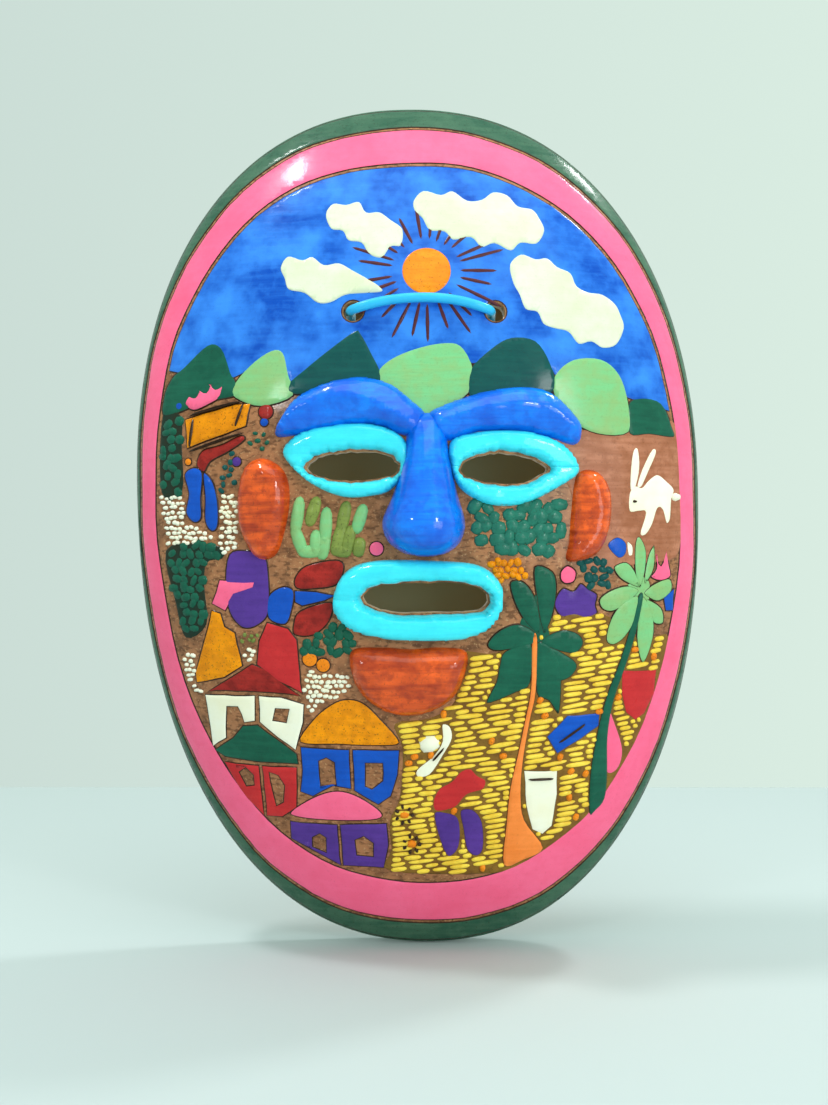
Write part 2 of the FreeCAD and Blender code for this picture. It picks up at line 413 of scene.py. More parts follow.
BURNISHED = Clay("burnished_clay", coat=0.4,
                 ground="A56F4A", burnt="5A3822", fleck="C69A6E", depth=0.75)
BARE = Clay("bare_terracotta", coat=0.0, relief=0.2,
            ground="BE7248", burnt="93502F", fleck="D89A6C", depth=0.4)
CUT_CLAY = Clay("cut_clay_edge", coat=0.1, relief=0.25,
                ground="B98F62", burnt="7D5B3C", fleck="D8B88C", depth=0.5)
DRAWN = Clay("drawn_line", coat=0.3, ground="3A2618", burnt="20150E", fleck="5A3B26", depth=0.5)
PINK = Paint("pink_paint", full="FB6C94", thin="F2587F", streak=0.15, cloud=0.5, grit=0.08)
RIM_GREEN = Paint("rim_green_paint", full="2A5543", thin="54785F", streak=0.3, cloud=0.5, grit=0.45)
SKY = Paint("sky_blue_paint", full="0A4AB0", thin="3A8CF0", streak=0.2, cloud=0.9, grit=0.12)
CLOUD = Paint("cloud_cream_paint", full="DBE2CC", thin="CBD3AC", streak=0.15, cloud=0.6, grit=0.08)
SUN = Paint("sun_orange_paint", full="FA9420", thin="D86C0E", cloud=0.6, grit=0.5)
RAY = Paint("ray_brown_paint", full="5E2F34", thin="44222A", grit=0.2)
PINE = Paint("pine_green_paint", full="14503F", thin="1F6A52", cloud=0.4, grit=0.2)
TEAL = Paint("teal_green_paint", full="0F4646", thin="185B54", cloud=0.4, grit=0.2)
LEAF = Paint("leaf_green_paint", full="78C284", thin="8EAC6A", cloud=0.6, grit=0.12, mottle=0.35)
MOSS = Paint("moss_green_paint", full="8A9A4A", thin="5F6E38", cloud=0.6, grit=0.5)
BRICK = Paint("brick_red_paint", full="B02E28", thin="6E1A18", cloud=0.5, grit=0.4, mottle=0.6)
ROSE = Paint("rose_red_paint", full="CC3234", thin="AE2228", cloud=0.5, grit=0.15)
LIME = Paint("limewash_paint", full="F3F2E0", thin="F0E8C2", streak=0.1, cloud=0.5, grit=0.03, mottle=0.1)
AMBER = Paint("amber_paint", full="F89A0A", thin="C87206", cloud=0.5, grit=0.6, mottle=0.5)
COBALT = Paint("cobalt_paint", full="1456C2", thin="0E42A0", cloud=0.5, grit=0.1)
VIOLET = Paint("violet_paint", full="5A3894", thin="432A78", cloud=0.5, grit=0.12)
STRAW = Paint("straw_yellow_paint", full="FBDC50", thin="DFAE2C", cloud=0.4, grit=0.15, mottle=0.5)
# the field's yellow-brown ground, darkened as painted shade where it shows between the raised strokes
FIELD_GROUND_AND_SHADE = Paint("ochre_wash", full="8E6A2C", thin="6A4820", cloud=0.6, grit=0.5, mottle=0.6)
DEEP = Paint("deep_green_wash", full="12352B", thin="2C2A1C", cloud=0.6, grit=0.4, mottle=0.6)
SAGE = Paint("sage_green_paint", full="2A7764", thin="1C5A4C", cloud=0.5, grit=0.3, mottle=0.5)
BLUSH = Paint("blush_clay_wash", full="B87A5E", thin="94593C", streak=0.7, cloud=0.6, grit=0.3, mottle=0.6)
TRUNK = Paint("trunk_orange_paint", full="FF9146", thin="E87A2E", cloud=0.5, grit=0.1)
BLUE_VARNISH = Paint("blue_varnish", coat=0.7, coat_roughness=0.09, relief=0.3,
                     full="0080F8", thin="004CCA", streak=0.35, cloud=0.75, grit=0.05, mottle=0.45)
TURQUOISE = Paint("turquoise_varnish", coat=0.6, coat_roughness=0.1, relief=0.2,
                  full="3FE6F6", thin="2ACBE4", streak=0.35, cloud=0.4, grit=0.04)
RED_VARNISH = Paint("red_varnish", coat=0.7, coat_roughness=0.08, relief=0.3,
                    full="F8641C", thin="90240A", streak=0.6, cloud=0.75, grit=0.35, mottle=0.5)
CORD_BLUE = Paint("cord_blue", coat=0.35, coat_roughness=0.3, relief=0.05,
                  full="35BDF2", thin="2AA6DC", streak=0.2, cloud=0.5, grit=0.04)


# ---- the dish


@dataclass(frozen=True)
class Dish:
    """The domed oval that everything lies on."""

    half_width: float = 100.0
    rise: float = 138.0
    drop: float = 162.0
    widest: float = 12.0
    fullness: float = 2.22
    skew: float = 0.02
    crown: float = 56.0
    edge: float = 6.0
    wall: float = 7.0
    flank_power: float = 0.5
    end_power: float = 0.85
    lip_share: float = 0.985
    wave: float = 0.35  # slow unevenness left by the hands
    wave_length: float = 34.0
    dent: float = 0.12  # finger marks
    dent_length: float = 9.0
    thinned: float = 5.0  # how much thinner the wall is at its edge

    def reach(self, along: float) -> float:
        """Gives the oval's half height above or below its widest line."""
        return self.rise if along > 0 else self.drop

    def shares(self, x: float, z: float) -> tuple[float, float]:
        """Splits how far out a point lies.

        Args:
            x: millimetres across.
            z: millimetres up.

        Returns:
            The sideways and the lengthways part, which add up to 1 at the oval.
        """
        along = z - self.widest
        across = (abs(x + self.skew * along) / self.half_width) ** self.fullness
        return across, (abs(along) / self.reach(along)) ** self.fullness

    def share(self, x: float, z: float) -> float:
        """Gives how far out a point lies: 0 at the middle and 1 at the oval."""
        return sum(self.shares(x, z)) ** (1 / self.fullness)

    def height(self, x: float, z: float, depth: float = 0.0) -> float:
        """Works out how far the dish stands out from its back plane.

        Args:
            x: millimetres across.
            z: millimetres up.
            depth: how far under the front skin.

        Returns:
            The height in millimetres.
        """
        across, up = self.shares(x, z)
        total = max(across + up, 1e-9)
        power = (self.flank_power * across + self.end_power * up) / total
        inside = max(1 - (self.lip_share * total ** (1 / self.fullness)) ** 2, 0.0)
        wave = self.wave * noise.noise(Vector((x, 7.0, z)) / self.wave_length)
        bump = wave + self.dent * noise.noise(Vector((x, 3.0, z)) / self.dent_length)
        return self.edge + (self.crown - self.edge) * inside ** power + bump - depth

    def normal(self, x: float, z: float) -> Vector:
        """Works out the direction that the front faces at a point.

        Args:
            x: millimetres across.
            z: millimetres up.

        Returns:
            The unit direction.
        """
        step = 0.5
        slope_x = self.height(x + step, z) - self.height(x - step, z)
        slope_z = self.height(x, z + step) - self.height(x, z - step)
        return Vector((-slope_x, -2 * step, -slope_z)).normalized()

    def place(self, x: float, z: float, lift: float = 0.0) -> Vector:
        """Carries a point of a flat drawing onto the dish.

        Args:
            x: millimetres across.
            z: millimetres up.
            lift: millimetres above the clay.

        Returns:
            The place in the model's frame, in metres.
        """
        spot = Vector((x - NAIL_X, -self.height(x, z), z - NAIL_Z))
        if lift:
            spot += self.normal(x, z) * lift
        return spot * MM

    def oval(self, side: float, top: float, bottom: float, count: int = 120) -> Loop:
        """Draws an oval inside the dish's own.

        Args:
            side: its share of the dish at the sides.
            top: its share at the top.
            bottom: its share at the bottom.
            count: points round it.

        Returns:
            The oval's points, anticlockwise from the right.
        """
        points = []
        for step in range(count):
            turn = 2 * math.pi * step / count
            cosine = math.cos(turn)
            sine = math.sin(turn)
            radius = (abs(cosine) ** self.fullness + abs(sine) ** self.fullness) ** (-1 / self.fullness)
            end = top if sine > 0 else bottom
            share = side + (end - side) * (radius * sine) ** 2
            along = share * radius * sine * self.reach(sine)
            across = share * radius * cosine * self.half_width
            points.append((across - self.skew * along, along + self.widest))
        return points

    def grid(self) -> tuple[list[float], list[float]]:
        """Works out the lines that every sheet on the dish is cut along, finer on the flanks.

        Returns:
            The place of each line across, and of each line up.
        """
        steps = 62
        angles = [math.radians(1.3 * step) for step in range(-steps, steps + 1)]
        across = [self.half_width * math.sin(a) for a in angles]
        up = [self.widest + self.reach(a) * math.sin(a) for a in angles]
        return across, up


DISH = Dish()


# ---- flat drawing


def rounded(points: Sequence[Point], pieces: int = 4) -> Loop:
    """Runs a closed smooth curve through a few points.

    Args:
        points: the points, in order round the shape.
        pieces: straight pieces from each point to the next.

    Returns:
        The curve's points.
    """
    curve = []
    count = len(points)
    for i in range(count):
        before, here, after, beyond = (Vector(points[(i + k) % count]) for k in (-1, 0, 1, 2))
        for piece in range(pieces):
            t = piece / pieces
            bend = 2 * before - 5 * here + 4 * after - beyond
            twist = 3 * here - before - 3 * after + beyond
            spot = 0.5 * (2 * here + (after - before) * t + bend * t ** 2 + twist * t ** 3)
            curve.append((spot.x, spot.y))
    return curve


def shaped(points: Sequence[Point], corners: Corners) -> Loop:
    """Gives an outline with round or crisp corners, where a crisp side still wavers a little.

    Args:
        points: the outline's points.
        corners: how it turns at them.

    Returns:
        The drawn outline.
    """
    if corners is Corners.ROUND:
        return rounded(points)
    drawn = []
    for here, after in zip(points, list(points[1:]) + [points[0]]):
        a = Vector(here)
        b = Vector(after)
        cuts = max(1, round((b - a).length / 4))
        drawn += [tuple(a.lerp(b, k / cuts)) for k in range(cuts)]
    return wavering(drawn, amount=0.25, length=5.0, seeds=(1.0, 5.0))


def wavering(outline: Sequence[Point], amount: float, length: float, seeds: tuple[float, float]) -> Loop:
    """Makes an outline a little uneven, as a hand leaves it.

    Args:
        outline: the even outline.
        amount: the most that a point moves, in millimetres.
        length: how slowly it strays, in millimetres.
        seeds: where the straying across and the straying up are read.

    Returns:
        The uneven outline.
    """
    across, up = seeds
    return [(x + amount * noise.noise(Vector((x, z, across)) / length),
             z + amount * noise.noise(Vector((x, z, up)) / length)) for x, z in outline]


def inside(spot: Point, outline: Sequence[Point]) -> bool:
    """Says whether a point is inside an outline.

    Args:
        spot: the point.
        outline: the outline's points.

    Returns:
        True if it is inside.
    """
    x, z = spot
    crossed = False
    for (x1, z1), (x2, z2) in zip(outline, list(outline[1:]) + [outline[0]]):
        if (z1 > z) != (z2 > z) and x < x1 + (z - z1) * (x2 - x1) / (z2 - z1):
            crossed = not crossed
    return crossed


def distance(spot: Vector, line: Sequence[Vector], closed: bool) -> float:
    """Measures how far a point is from a line of straight pieces.

    Args:
        spot: the point.
        line: the line's points.
        closed: whether its last point joins its first.

    Returns:
        The distance in millimetres.
    """
    ends = list(line[1:]) + ([line[0]] if closed else [])
    least = math.inf
    for a, b in zip(line, ends):
        run = b - a
        t = max(0.0, min(1.0, (spot - a).dot(run) / max(run.length_squared, 1e-9)))
        least = min(least, (spot - a - run * t).length)
    return least


def circle(x: float, z: float, radius: float, count: int = 12) -> Loop:
    """Draws a circle as a loop of points."""
    turns = [2 * math.pi * k / count for k in range(count)]
    return [(x + radius * math.cos(turn), z + radius * math.sin(turn)) for turn in turns]


# ---- mesh work


def fill(loops: Sequence[Loop]) -> bmesh.types.BMesh:
    """Fills flat loops of points, the first as the edge and the others as holes.

    Args:
        loops: the loops, in millimetres, drawn in the x-z plane.

    Returns:
        A new flat mesh at y = 0.
    """
    bm = bmesh.new()
    for loop in loops:
        corners = [bm.verts.new((x, 0.0, z)) for x, z in loop]
        for a, b in zip(corners, corners[1:] + corners[:1]):
            bm.edges.new((a, b))
    bmesh.ops.triangle_fill(bm, use_beauty=True, use_dissolve=False, edges=bm.edges[:], normal=(0, -1, 0))
    bmesh.ops.recalc_face_normals(bm, faces=bm.faces[:])
    if bm.faces and sum(f.normal.y * f.calc_area() for f in bm.faces) > 0:
        bmesh.ops.reverse_faces(bm, faces=bm.faces[:])
    return bm


def cut(bm: bmesh.types.BMesh, across: Iterable[float], up: Iterable[float]) -> None:
    """Cuts a flat mesh along upright and level lines, so that it can bend over the dish.

    Args:
        bm: the mesh.
        across: x of each upright line.
        up: z of each level line.
    """
    xs = [v.co.x for v in bm.verts]
    zs = [v.co.z for v in bm.verts]
    cuts = [((x, 0, 0), (1, 0, 0)) for x in across if min(xs) < x < max(xs)]
    cuts += [((0, 0, z), (0, 0, 1)) for z in up if min(zs) < z < max(zs)]
    for spot, facing in cuts:
        bmesh.ops.bisect_plane(bm, geom=bm.verts[:] + bm.edges[:] + bm.faces[:], dist=1e-4,
                               plane_co=spot, plane_no=facing)


def close_behind(bm: bmesh.types.BMesh, bury: float) -> None:
    """Gives a sheet a back and side walls.

    Args:
        bm: a sheet whose y holds each point's lift above the clay.
        bury: how far the back lies under the clay.
    """
    back = bm.verts[:]
    bmesh.ops.extrude_face_region(bm, geom=bm.faces[:] + bm.edges[:] + bm.verts[:], use_keep_orig=True)
    for vert in back:
        vert.co.y = -bury


def lay(bm: bmesh.types.BMesh) -> None:
    """Carries a drawing whose y holds its lift onto the dish."""
    for vert in bm.verts:
        vert.co = DISH.place(vert.co.x, vert.co.z, vert.co.y)


@dataclass
class Piece:
    """One named object, gathered from several worked sheets."""

    name: str
    slot: str = "fired_clay"
    body: str = "mask"
    replaces: tuple[str, ...] = ()
    finishes: list[Finish] = field(default_factory=list)
    mesh: bmesh.types.BMesh = field(default_factory=bmesh.new)

    def index(self, finish: Finish) -> int:
        """Finds a finish's place among the piece's materials, adding it if it is new.

        Args:
            finish: the finish.

        Returns:
            Its place.
        """
        if finish not in self.finishes:
            self.finishes.append(finish)
        return self.finishes.index(finish)

    def take(self, part: bmesh.types.BMesh) -> None:
        """Adds a worked mesh to the piece and lets go of it.

        Args:
            part: the mesh, closed and already laid in place.
        """
        bmesh.ops.recalc_face_normals(part, faces=part.faces[:])
        carrier = bpy.data.meshes.new("carrier")
        part.to_mesh(carrier)
        part.free()
        self.mesh.from_mesh(carrier)
        bpy.data.meshes.remove(carrier)

    def finish(self) -> bpy.types.Object:
        """Makes the object, dresses it and lets it ride on its body, if it has just one.

        Returns:
            The finished object.
        """
        data = bpy.data.meshes.new(self.name)
        self.mesh.to_mesh(data)
        self.mesh.free()
        for finish in self.finishes:
            data.materials.append(finish.material())
        data.polygons.foreach_set("use_smooth", [True] * len(data.polygons))
        made = bpy.data.objects.new(self.name, data)
        bpy.context.scene.collection.objects.link(made)
        if self.body:
            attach(made, self.body)
        if self.replaces:
            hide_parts(*self.replaces)
        log.info("%s: %d faces", self.name, len(data.polygons))
        return made


@dataclass(frozen=True)
class Film:
    """One flat coat of paint: an outline, perhaps with holes, laid on the dish."""

    paint: Finish
    points: Sequence[Point]
    corners: Corners = Corners.ROUND
    level: float = 0.0  # how many other coats lie under it
    line: float = 0.5  # width of the dark line drawn round it
    holes: tuple[Loop, ...] = ()
    shoulder: float = 0.45  # width of the soft edge
    first_lift: float = 0.30
    coat_lift: float = 0.16
    bury: float = 0.35

    def cut_out(self, piece: Piece) -> None:
        """Makes the coat with its drawn line and soft shoulder, and adds it to a piece.

        Args:
            piece: the piece that takes it.
        """
        lift = self.first_lift + self.coat_lift * self.level
        bm = fill((shaped(self.points, self.corners), *self.holes))
        if self.line:
            ring = bmesh.ops.inset_region(bm, faces=bm.faces[:], thickness=self.line, use_boundary=True)
            for face in ring["faces"]:
                face.material_index = 1
        inner = [f for f in bm.faces if f.material_index == 0]
        bmesh.ops.inset_region(bm, faces=inner, thickness=self.shoulder, use_boundary=True)
        edge = {v for e in bm.edges if e.is_boundary for v in e.verts}
        around = {v for f in bm.faces for v in f.verts if edge & set(f.verts)} - edge
        for vert in bm.verts:
            if vert in edge:
                vert.co.y = 0.1 * lift
            elif vert in around and self.line:
                vert.co.y = 0.45 * lift
            else:
                vert.co.y = lift
        cut(bm, *DISH.grid())
        close_behind(bm, self.bury)
        paint = piece.index(self.paint)
        drawn = piece.index(DRAWN)
        for face in bm.faces:
            face.material_index = drawn if face.material_index == 1 else paint
        lay(bm)
        piece.take(bm)


@dataclass(frozen=True)
class Dab:
    """One touch of a loaded brush: a low rounded mark."""

    paint: Finish
    at: Point
    length: float
    width: float
    turn: float = 0.0  # degrees up from level
    lift: float = 0.7
    sides: int = 8
    shoulder: float = 0.14  # share of the mark that slopes down to its edge
    fullness: float = 0.6  # 1 would leave it an ellipse, and less squares its ends
    bury: float = 0.3

    def press(self, piece: Piece) -> None:
        """Makes the mark and adds it to a piece.

        Args:
            piece: the piece that takes it.
        """
        bm = bmesh.new()
        bmesh.ops.create_circle(bm, cap_ends=True, segments=self.sides, radius=0.5)
        bmesh.ops.inset_region(bm, faces=bm.faces[:], thickness=self.shoulder, use_even_offset=True,
                               use_boundary=True)
        edge = {v for e in bm.edges if e.is_boundary for v in e.verts}
        lean = Matrix.Rotation(math.radians(self.turn), 2)
        for vert in bm.verts:
            squared = abs(vert.co.x * 2) ** self.fullness * math.copysign(0.5, vert.co.x)
            flat = lean @ Vector((squared * self.length, vert.co.y * self.width))
            vert.co = (self.at[0] + flat.x, 0.05 if vert in edge else self.lift, self.at[1] + flat.y)
        close_behind(bm, self.bury)
        for face in bm.faces:
            face.material_index = piece.index(self.paint)
        lay(bm)
        piece.take(bm)


# ---- the clay dish and its features

LEFT_SLOT = ((-37, 20), (-32, 23.5), (-24, 24.8), (-12.5, 24.6), (-6.8, 21.3), (-7.4, 17.8),
             (-13, 16), (-22, 15.5), (-32, 16.6))
RIGHT_SLOT = ((14.3, 20), (19, 23.4), (27, 24.5), (35.5, 23.6), (43.5, 20.2), (40.5, 17),
              (34, 14.5), (24, 14.6), (16, 17))
MOUTH_SLOT = ((-18, -23), (-13, -19.2), (1, -18.4), (17, -18.9), (23.4, -23), (20.5, -27.3),
              (7.5, -28.4), (-9, -28), (-15.7, -26.2))
LEFT_EYE = ((-44.5, 25), (-38.5, 31.5), (-25.5, 34), (-12.5, 33.5), (-4, 28.5), (-3, 20), (-8.5, 12.5),
            (-15.5, 10.3), (-24, 10), (-32.5, 13), (-39.5, 18))
RIGHT_EYE = ((10.6, 27.8), (20.5, 31.5), (34, 32), (44.5, 29.5), (51, 25), (53.5, 18.5), (47, 13.5),
             (37, 8.5), (28.5, 7), (19.8, 8.8), (12.5, 15))
LIPS = ((-28, -24), (-24, -15), (-14, -11), (7.3, -11), (20.4, -12.6), (27, -18), (28, -25.5),
        (24, -33), (14, -37), (-2.5, -37.5), (-19, -35), (-26.3, -30))
HOLES = ((-21.5, 72.0), (26.0, 72.0))
HOLE_RADIUS = 3.4


def ragged(outline: Loop, amount: float) -> Loop:
    """Makes a cut edge uneven, as a knife leaves it in wet clay.

    Args:
        outline: the smooth outline.
        amount: the most that a point moves, in millimetres.

    Returns:
        The uneven outline.
    """
    return wavering(outline, amount, length=1.9, seeds=(2.0, 9.0))


@dataclass
class ClayDish:
    """The dish itself: a wall of fired clay with three slots, two cord holes and a rounded rim."""

    dish: Dish = DISH
    green_from: float = 0.985  # the rim is green from this share of the oval outwards
    slot_reach: float = 24.0  # this far from a slot's middle lies all of its edge, and no other slot's
    knife: float = 0.55  # unevenness of the cut edges
    rim_front: tuple[tuple[float, float], ...] = (
        (0.998, 0.72), (0.993, 0.40), (0.984, 0.16), (0.972, 0.0))  # share of the oval, share of the height
    rim_back: tuple[tuple[float, float], ...] = ((0.945, 0.0), (0.937, 1.0))  # share of the oval, height

    def inner(self, x: float, z: float) -> Vector:
        """Works out the place behind a point of the front skin, on the dish's hollow side.

        Args:
            x: millimetres across.
            z: millimetres up.

        Returns:
            The place in the model's frame, in metres.
        """
        share = self.dish.share(x, z)
        pull = 1 - self.dish.wall / self.dish.half_width * share ** 2
        span = self.dish.reach(z - self.dish.widest)
        rise = 1 - self.dish.wall / span * share ** 2
        inner_x = x * pull
        inner_z = self.dish.widest + (z - self.dish.widest) * rise
        depth = self.dish.wall - self.dish.thinned * share ** 3
        spot = Vector((inner_x - NAIL_X, -self.dish.height(x, z, depth), inner_z - NAIL_Z))
        return spot * MM

    def build(self) -> bpy.types.Object:
        """Makes the dish.

        Returns:
            The finished dish.
        """
        piece = Piece("painted_clay_dish", replaces=("clay_shell",))
        _, bare, cut_clay, green = (piece.index(f) for f in (BURNISHED, BARE, CUT_CLAY, RIM_GREEN))
        outer = self.dish.oval(1.0, 1.0, 1.0, 180)
        slots = [ragged(rounded(s, 6), self.knife) for s in (LEFT_SLOT, RIGHT_SLOT, MOUTH_SLOT)]
        slots += [circle(x, z, HOLE_RADIUS, 24) for x, z in HOLES]
        bm = fill((outer, *slots))
        cut(bm, *self.dish.grid())
        bmesh.ops.remove_doubles(bm, verts=bm.verts[:], dist=1e-3)
        front = bm.faces[:]
        copied = bmesh.ops.duplicate(bm, geom=bm.verts[:] + bm.edges[:] + front)["geom"]
        behind = [f for f in copied if isinstance(f, bmesh.types.BMFace)]
        hidden = {v for v in copied if isinstance(v, bmesh.types.BMVert)}
        bmesh.ops.reverse_faces(bm, faces=behind)
        for face in behind:
            face.material_index = bare
        open_edges = [e for e in bm.edges if e.is_boundary]
        rim_edges = [e for e in open_edges if self.dish.share(*self.flat(e)) > 0.99]
        flats = {v: (v.co.x, v.co.z) for v in bm.verts}
        for slot in slots:
            middle = sum((Vector(p) for p in slot), Vector((0, 0))) / len(slot)
            grown = circle(*middle, self.slot_reach)
            around = [e for e in open_edges if inside(self.flat(e), grown)]
            for face in bmesh.ops.bridge_loops(bm, edges=around)["faces"]:
                face.material_index = cut_clay
        for face in front:
            middle = face.calc_center_median()
            if self.dish.share(middle.x, middle.z) > self.green_from:
                face.material_index = green
        front_rim = [e for e in rim_edges if e.verts[0] not in hidden]
        back_rim = [e for e in rim_edges if e.verts[0] in hidden]
        for vert, (x, z) in flats.items():
            vert.co = self.inner(x, z) if vert in hidden else self.dish.place(x, z)
        rows = [(share, level, 0.0, green) for share, level in self.rim_front]
        rows += [(share, 0.0, height, bare) for share, height in self.rim_back]
        self.wrap_rim(bm, front_rim, back_rim, rows)
        piece.take(bm)
        return piece.finish()

    @staticmethod
    def flat(edge: bmesh.types.BMEdge) -> Point:
        """Gives the middle of an edge of the flat drawing."""
        middle = (edge.verts[0].co + edge.verts[1].co) / 2
        return middle.x, middle.z

    def wrap_rim(self, bm: bmesh.types.BMesh, front: list[bmesh.types.BMEdge], back: list[bmesh.types.BMEdge],
                 rows: Sequence[tuple[float, float, float, int]]) -> None:
        """Rolls the rim round from the front skin to the hollow side.

        Args:
            bm: the dish.
            front: the front skin's outer edges.
            back: the hollow side's outer edges.
            rows: for each row of the roll, its share of the oval, its share of the front's height,
                its height above that, and its finish's place.
        """
        here = front
        for share, level, height, coat in rows:
            made = bmesh.ops.extrude_edge_only(bm, edges=here)["geom"]
            fresh = {g for g in made if isinstance(g, bmesh.types.BMVert)}
            for face in (g for g in made if isinstance(g, bmesh.types.BMFace)):
                face.material_index = coat
            for vert in fresh:
                x = vert.co.x / MM + NAIL_X
                z = vert.co.z / MM + NAIL_Z
                ratio = share / self.dish.share(x, z)
                along = (z - self.dish.widest) * ratio
                off = self.dish.height(x, z) * level + height
                vert.co = Vector((x * ratio - NAIL_X, -off, along + self.dish.widest - NAIL_Z)) * MM
            here = [g for g in made if isinstance(g, bmesh.types.BMEdge) and g.is_boundary
                    and all(v in fresh for v in g.verts)]
        for face in bmesh.ops.bridge_loops(bm, edges=here + back)["faces"]:
            face.material_index = rows[-1][-1]


@dataclass(frozen=True)
class Feature:
    """A feature modelled in clay and luted on: an outline that swells to a ridge."""

    name: str
    replaces: tuple[str, ...]
    outline: tuple[Point, ...]
    ridge: tuple[Point, ...]
    relief: float
    varnish: Paint
    sharp: float = 0.55  # 1 gives a hard ridge and a small value a soft pillow
    ripple: float = 0.35  # unevenness of the modelling
    roll: float = 2.6  # width of the rounding along the outline
    brim: float = 0.42  # share of the relief that a facet starts from
    soft_brim: float = 0.45  # and a pillow
    step: float = 1.3
    bury: float = 1.2

    def build(self) -> bpy.types.Object:
        """Makes the feature.

        Returns:
            The finished feature.
        """
        piece = Piece(self.name, slot=self.varnish.name, replaces=self.replaces)
        piece.index(self.varnish)
        edge = rounded(self.outline, 6)
        bm = fill((edge,))
        cut(bm, *even_rows(self.step))
        rim = [Vector(p) for p in edge]
        line = rounded_line(self.ridge) if len(self.ridge) > 2 else self.ridge
        ridge = [Vector(p) for p in line]
        for vert in bm.verts:
            spot = Vector((vert.co.x, vert.co.z))
            out = distance(spot, rim, True)
            inward = distance(spot, ridge, False)
            vert.co.y = self.swell(out, inward, spot)
        close_behind(bm, self.bury)
        lay(bm)
        piece.take(bm)
        return piece.finish()

    def swell(self, out: float, inward: float, spot: Vector) -> float:
        """Works out how far the clay stands off the dish.

        Args:
            out: distance from the outline.
            inward: distance from the ridge.
            spot: the point itself.

        Returns:
            The lift in millimetres.
        """
        t = out / max(out + inward, 1e-6)
        pillow = arch(min(out / self.roll, 1.0))
        facet = self.brim + (1 - self.brim) * t
        soft = self.soft_brim + (1 - self.soft_brim) * arch(t)
        body = pillow * (self.sharp * facet + (1 - self.sharp) * soft)
        rough = self.ripple * noise.noise(Vector((spot.x, spot.y, self.relief)) / 6.0)
        return self.relief * body + rough * pillow


def arch(t: float) -> float:
    """Gives the height of a quarter circle that rises from 0 to 1."""
    return math.sqrt(max(1 - (1 - t) ** 2, 0.0))


def even_rows(step: float) -> tuple[list[float], list[float]]:
    """Works out the lines that a modelled feature is cut along.

    Args:
        step: millimetres between two lines.

    Returns:
        The place of each line across, and of each line up.
    """
    rows = [count * step for count in range(-100, 101)]
    return rows, rows


def rounded_line(points: Sequence[Point], pieces: int = 4) -> Loop:
    """Runs an open smooth curve through a few points.

    Args:
        points: the points, in order along it.
        pieces: straight pieces from each point to the next.

    Returns:
        The curve's points.
    """
    first = tuple(2 * a - b for a, b in zip(points[0], points[1]))
    last = tuple(2 * a - b for a, b in zip(points[-1], points[-2]))
    whole = rounded((first, *points, last), pieces)
    return whole[pieces:len(points) * pieces + 1]


@dataclass(frozen=True)
class Ring(Feature):
    """Half of the ring of clay round a slot: an eyelid or a lip."""

    slot: tuple[Point, ...] = ()
    half: Lid = Lid.UPPER
    seam: float = 20.0
    gap: float = 0.7  # bare clay left between the ring and the slot
    notch_depth: float = 0.1
    notch_width: float = 1.6

    def build(self) -> bpy.types.Object:
        """Makes the half ring.

        Returns:
            The finished lid or lip.
        """
        piece = Piece(self.name, slot=self.varnish.name, replaces=self.replaces)
        piece.index(self.varnish)
        middle = sum((Vector(p) for p in self.slot), Vector((0, 0))) / len(self.slot)
        opening = []
        for x, z in ragged(rounded(self.slot, 6), 0.7):
            away = Vector((x, z)) - middle
            spot = middle + away * (1 + self.gap / away.length)
            opening.append((spot.x, spot.y))
        edge = rounded(self.outline, 6)
        bm = fill((edge, opening))
        cut(bm, *even_rows(self.step))
        bmesh.ops.bisect_plane(bm, geom=bm.verts[:] + bm.edges[:] + bm.faces[:], dist=1e-4, clear_outer=True,
                               plane_co=(0, 0, self.seam), plane_no=(0, 0, -self.half.value))
        rim = [Vector(p) for p in edge]
        inner = [Vector(p) for p in opening]
        for vert in bm.verts:
            spot = Vector((vert.co.x, vert.co.z))
            out = distance(spot, rim, True)
            inward = distance(spot, inner, True)
            vert.co.y = self.swell(out, inward, spot) * self.notch(abs(spot.y - self.seam))
        close_behind(bm, self.bury)
        lay(bm)
        piece.take(bm)
        return piece.finish()

    def notch(self, off: float) -> float:
        """Lets the clay dip where the two halves were pressed together."""
        return 1 - self.notch_depth + self.notch_depth * min(off / self.notch_width, 1.0)

    def swell(self, out: float, inward: float, spot: Vector) -> float:
        """Works out the roll of clay between the outline and the slot.

        Args:
            out: distance from the outline.
            inward: distance from the slot.
            spot: the point itself.

        Returns:
            The lift in millimetres.
        """
        t = out / max(out + inward, 1e-6)
        roll = max(1 - abs(2 * t - 1) ** 4.5, 0.0) ** 0.5
        rough = self.ripple * noise.noise(Vector((spot.x, spot.y, self.relief)) / 5.0)
        return (self.relief + rough) * roll


